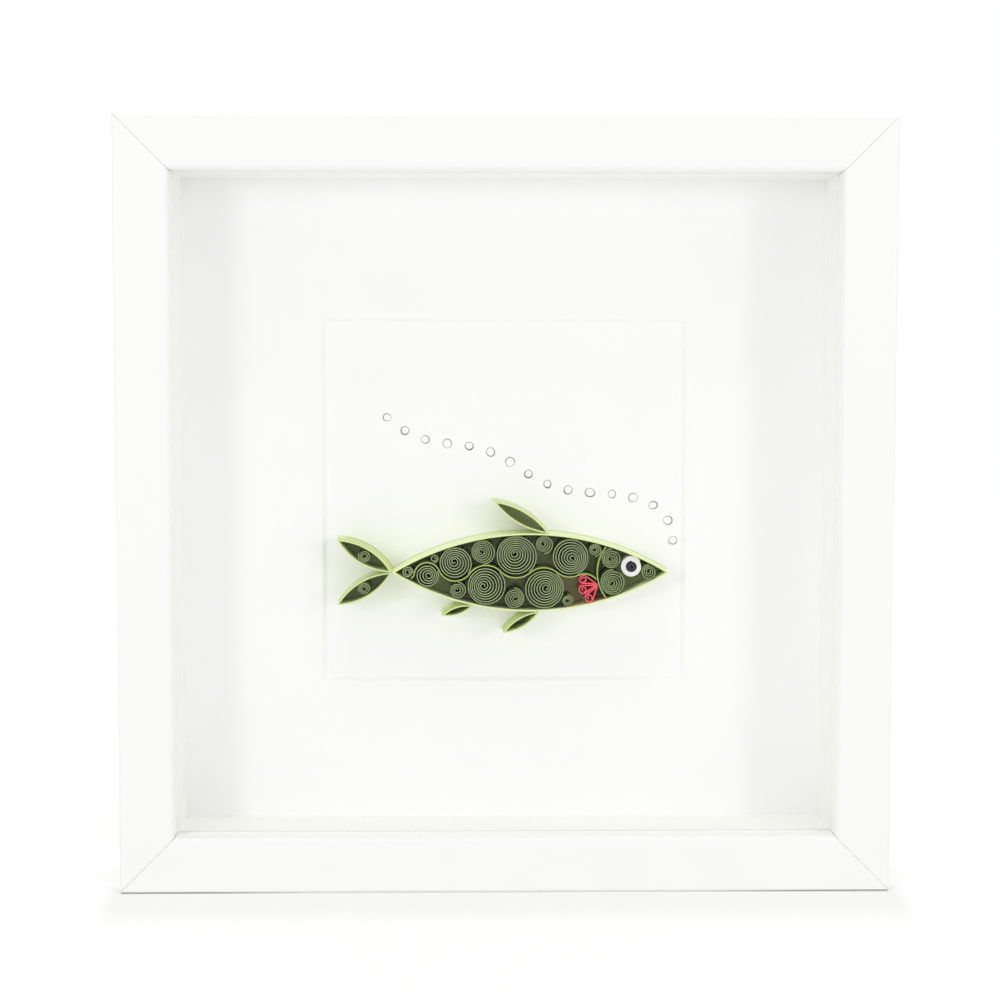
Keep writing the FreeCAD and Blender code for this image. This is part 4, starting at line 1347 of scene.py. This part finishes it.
@dataclass
class RingTrail:
    """A trail of small rings drawn in ink on the card."""

    film: float = 0.03
    sunk: float = 0.005
    line: float = 0.3
    ring_radius: float = 1.5
    steps: int = 56
    course: tuple[Spot, ...] = (
        *((57.2, 111.5), (55.4, 118.3), (50.4, 123.4), (43.6, 126.0), (36.4, 127.2), (29.0, 127.7)),
        *((21.6, 128.6), (14.6, 130.6), (8.2, 134.0), (2.0, 138.0), (-4.6, 141.4), (-11.8, 143.4)),
        *((-19.2, 144.2), (-26.6, 145.6), (-33.4, 148.6), (-39.4, 153.0)),
    )

    def ring(self, middle: Spot, source: random.Random) -> Ribbon:
        """Draws one ring by hand.

        Args:
            middle: Its middle.
            source: A seeded source of numbers.

        Returns:
            The closed ribbon.
        """
        radius = self.ring_radius * source.uniform(0.86, 1.08)
        squash = source.uniform(0.88, 1.0)
        turn = source.uniform(0, math.pi)
        weight = source.uniform(0.75, 1.15)
        phases = [source.uniform(0, 6.28) for _ in range(3)]
        outer = []
        inner = []
        for step in range(self.steps):
            angle = 2 * math.pi * step / self.steps
            wobble = 1 + 0.03 * math.sin(2 * angle + phases[0]) + 0.02 * math.sin(3 * angle + phases[1])
            half = self.line * weight / 2 * (1 + 0.45 * math.sin(angle + phases[2]))
            for edge, side in ((outer, 1), (inner, -1)):
                reach = radius * wobble + side * half
                along = reach * math.cos(angle)
                off = reach * math.sin(angle) * squash
                over = along * math.cos(turn) - off * math.sin(turn)
                up = along * math.sin(turn) + off * math.cos(turn)
                edge.append((middle[0] + over, middle[1] + up))
        return Ribbon(outer, inner, True)

    def build(self) -> None:
        """Draws and inks the whole trail."""
        source = random.Random("rings")
        rings = [self.ring(middle, source) for middle in self.course]
        trail = PaperPiece("ring_trail", CARD_FRONT + self.sunk, self.film, 0.01, 0.0, ribbons=rings)
        hand_over(trail.make((0.0, 0.0)), StampInk("Drawing ink"), Stock.DARK.slot())


@dataclass
class BoxFrame:
    """The four mitred rails, the nails across their corners and the slats inside."""

    sides: tuple[str, ...] = ("bottom", "left", "top", "right")

    def build(self) -> None:
        """Dresses the rails, the nails and the slats."""
        dress(PaintedRail("White foil"), [f"rail_{side}" for side in self.sides])
        dress(SheetSteel("Bright steel", Grain.BRUSHED), ["corner_nails"])
        dress(SlatWrap("White slat"), [f"spacer_{side}" for side in self.sides])


@dataclass
class Layers:
    """The pane, the mat, the card and the board, from front to back."""

    def build(self) -> None:
        """Dresses each sheet."""
        dress(ClearPane("Clear glass"), ["glass_pane"])
        dress(SheetPaper("Mat board", "fcfcfb", "fafaf8", "fcfcfb", 1500.0, 0.035), ["window_mat"])
        dress(SheetPaper("White card", "fcfcfc", "fafafa", "fbfbf9", 2400.0, 0.025), ["picture_card"])
        dress(Hardboard("Hardboard"), ["backing_board"])


@dataclass
class BackFittings:
    """The steel points that hold the board, the hanger plate and its two domed rivets."""

    rivet_spread: float = 19.0
    rivet_height: float = 208.0
    head_radius: float = 2.8
    head_thick: float = 0.8
    shank_radius: float = 1.5
    plate_back: float = 16.3
    board_front: float = 12.3
    rim: float = 0.25
    steps: int = 40
    dome_steps: int = 9

    def profile(self) -> list[Spot]:
        """The rivet's outline from the end of its shank to the top of its dome.

        Returns:
            Pairs of a radius and a depth.
        """
        low = self.plate_back
        outline = [(self.shank_radius, self.board_front), (self.shank_radius, low), (self.head_radius, low)]
        outline.append((self.head_radius, low + self.rim))
        for step in range(1, self.dome_steps):
            angle = math.pi / 2 * step / self.dome_steps
            rise = (self.head_thick - self.rim) * math.sin(angle)
            outline.append((self.head_radius * math.cos(angle), low + self.rim + rise))
        return outline

    def rivet(self, form: bmesh.types.BMesh, across: float) -> None:
        """Turns one rivet.

        Args:
            form: The mesh that takes it.
            across: Its place along X.
        """
        rings = []
        angles = [2 * math.pi * step / self.steps for step in range(self.steps)]
        for radius, depth in self.profile():
            spots = [dot_on((across, self.rivet_height), radius, angle) for angle in angles]
            rings.append([form.verts.new((spot[0] * MM, depth * MM, spot[1] * MM)) for spot in spots])
        for first, second in zip(rings, rings[1:]):
            for place in range(self.steps):
                following = (place + 1) % self.steps
                form.faces.new((first[place], first[following], second[following], second[place]))
        form.faces.new(rings[0])
        top = form.verts.new((across * MM, (self.plate_back + self.head_thick) * MM, self.rivet_height * MM))
        for place in range(self.steps):
            form.faces.new((rings[-1][place], rings[-1][(place + 1) % self.steps], top))

    def build(self) -> None:
        """Dresses the points and the plate, and sets the rivets."""
        steel = SheetSteel("Rolled steel", Grain.ROLLED)
        dress(steel, ["board_points"])
        plate = SheetSteel("Hanger steel", Grain.BRUSHED, "cdc9bd", "a09a8a")
        dress(plate, ["hanger_plate"])
        form = bmesh.new()
        for side in (-1, 1):
            self.rivet(form, self.rivet_spread * side)
        hand_over(to_object(form, "domed_rivets"), plate, "hanger_steel", "hanger_rivets")


@dataclass(frozen=True)
class Lamp:
    """A soft lamp: how far to the right of straight ahead and how high it stands, and its size and power."""

    name: str
    turn: float
    rise: float
    away: float
    width: float
    tall: float
    power: float

    def place(self) -> Vector:
        """Where it hangs, worked out from the middle of the object."""
        turn = math.radians(self.turn)
        rise = math.radians(self.rise)
        flat = math.cos(rise) * self.away
        return MIDDLE + Vector((math.sin(turn) * flat, -math.cos(turn) * flat, math.sin(rise) * self.away))


@dataclass
class Studio:
    """The camera, the soft lamps, the pale floor and the white surroundings."""

    lens: float = 72.536
    eye: tuple[float, float, float] = (-0.0157, -0.6667, 0.1714)
    tilt: tuple[float, float, float] = (86.1025, -0.0891, -1.2018)
    sensor: float = 36.0
    clip: Spot = (0.01, 50.0)
    surround: float = 0.82
    floor_side: float = 3.6
    lamps: tuple[Lamp, ...] = (
        Lamp("Left lamp", -33.0, 8.0, 1.6, 0.3, 0.4, 2.6),
        Lamp("Right lamp", 41.0, 8.0, 1.6, 0.24, 0.4, 2.2),
        Lamp("Top lamp", 180.0, 84.5, 1.8, 0.05, 0.16, 3.8),
        Lamp("Front lamp", 0.0, 72.0, 1.7, 1.0, 0.5, 3.2),
    )

    def set_camera(self) -> None:
        """Sets the camera where the picture was taken from."""
        data = bpy.data.cameras.new("Camera")
        data.lens = self.lens
        data.sensor_width = self.sensor
        data.clip_start, data.clip_end = self.clip
        camera = add_object("Camera", data)
        camera.location = self.eye
        camera.rotation_euler = [math.radians(angle) for angle in self.tilt]
        bpy.context.scene.camera = camera

    def hang(self, lamp: Lamp) -> None:
        """Hangs one soft lamp.

        Args:
            lamp: The lamp.
        """
        data = bpy.data.lights.new(lamp.name, "AREA")
        data.shape = "RECTANGLE"
        data.size = lamp.width
        data.size_y = lamp.tall
        data.energy = lamp.power
        hung = add_object(lamp.name, data)
        hung.location = lamp.place()
        hung.rotation_euler = (MIDDLE - hung.location).to_track_quat("-Z", "Y").to_euler()

    def set_surroundings(self) -> None:
        """Surrounds everything with even light, shown white behind the object."""
        world = bpy.data.worlds.new("Surroundings")
        bpy.context.scene.world = world
        graph = Graph(world)
        shown = graph.ray("Is Camera Ray").most(graph.ray("Is Glossy Ray"))
        shown = shown.most(graph.ray("Is Transmission Ray"))
        strength = shown * (1 - self.surround) + self.surround
        light = graph.node("ShaderNodeBackground", {}, {"Color": "ffffff", "Strength": strength})
        graph.end(light, "ShaderNodeOutputWorld")
        world.cycles.sampling_method = "NONE"

    def lay_floor(self) -> None:
        """Lays the pale floor under the object."""
        form = bmesh.new()
        bmesh.ops.create_grid(form, x_segments=8, y_segments=8, size=self.floor_side / 2)
        floor = to_object(form, "floor")
        material = PaleFloor("Floor").material()
        material.cycles.emission_sampling = "NONE"
        floor.data.materials.append(material)

    def build(self) -> None:
        """Sets up the studio."""
        bpy.context.scene.view_settings.view_transform = "Standard"
        self.set_camera()
        for lamp in self.lamps:
            self.hang(lamp)
        self.set_surroundings()
        self.lay_floor()


def main() -> None:
    """Builds every class in order and reports it."""
    logging.basicConfig(level=logging.INFO, format="%(message)s")
    for part in (Studio(), BoxFrame(), Layers(), QuilledFish(), RingTrail(), BackFittings()):
        log.info("building %s", type(part).__name__)
        part.build()


if __name__ == "__main__":
    main()
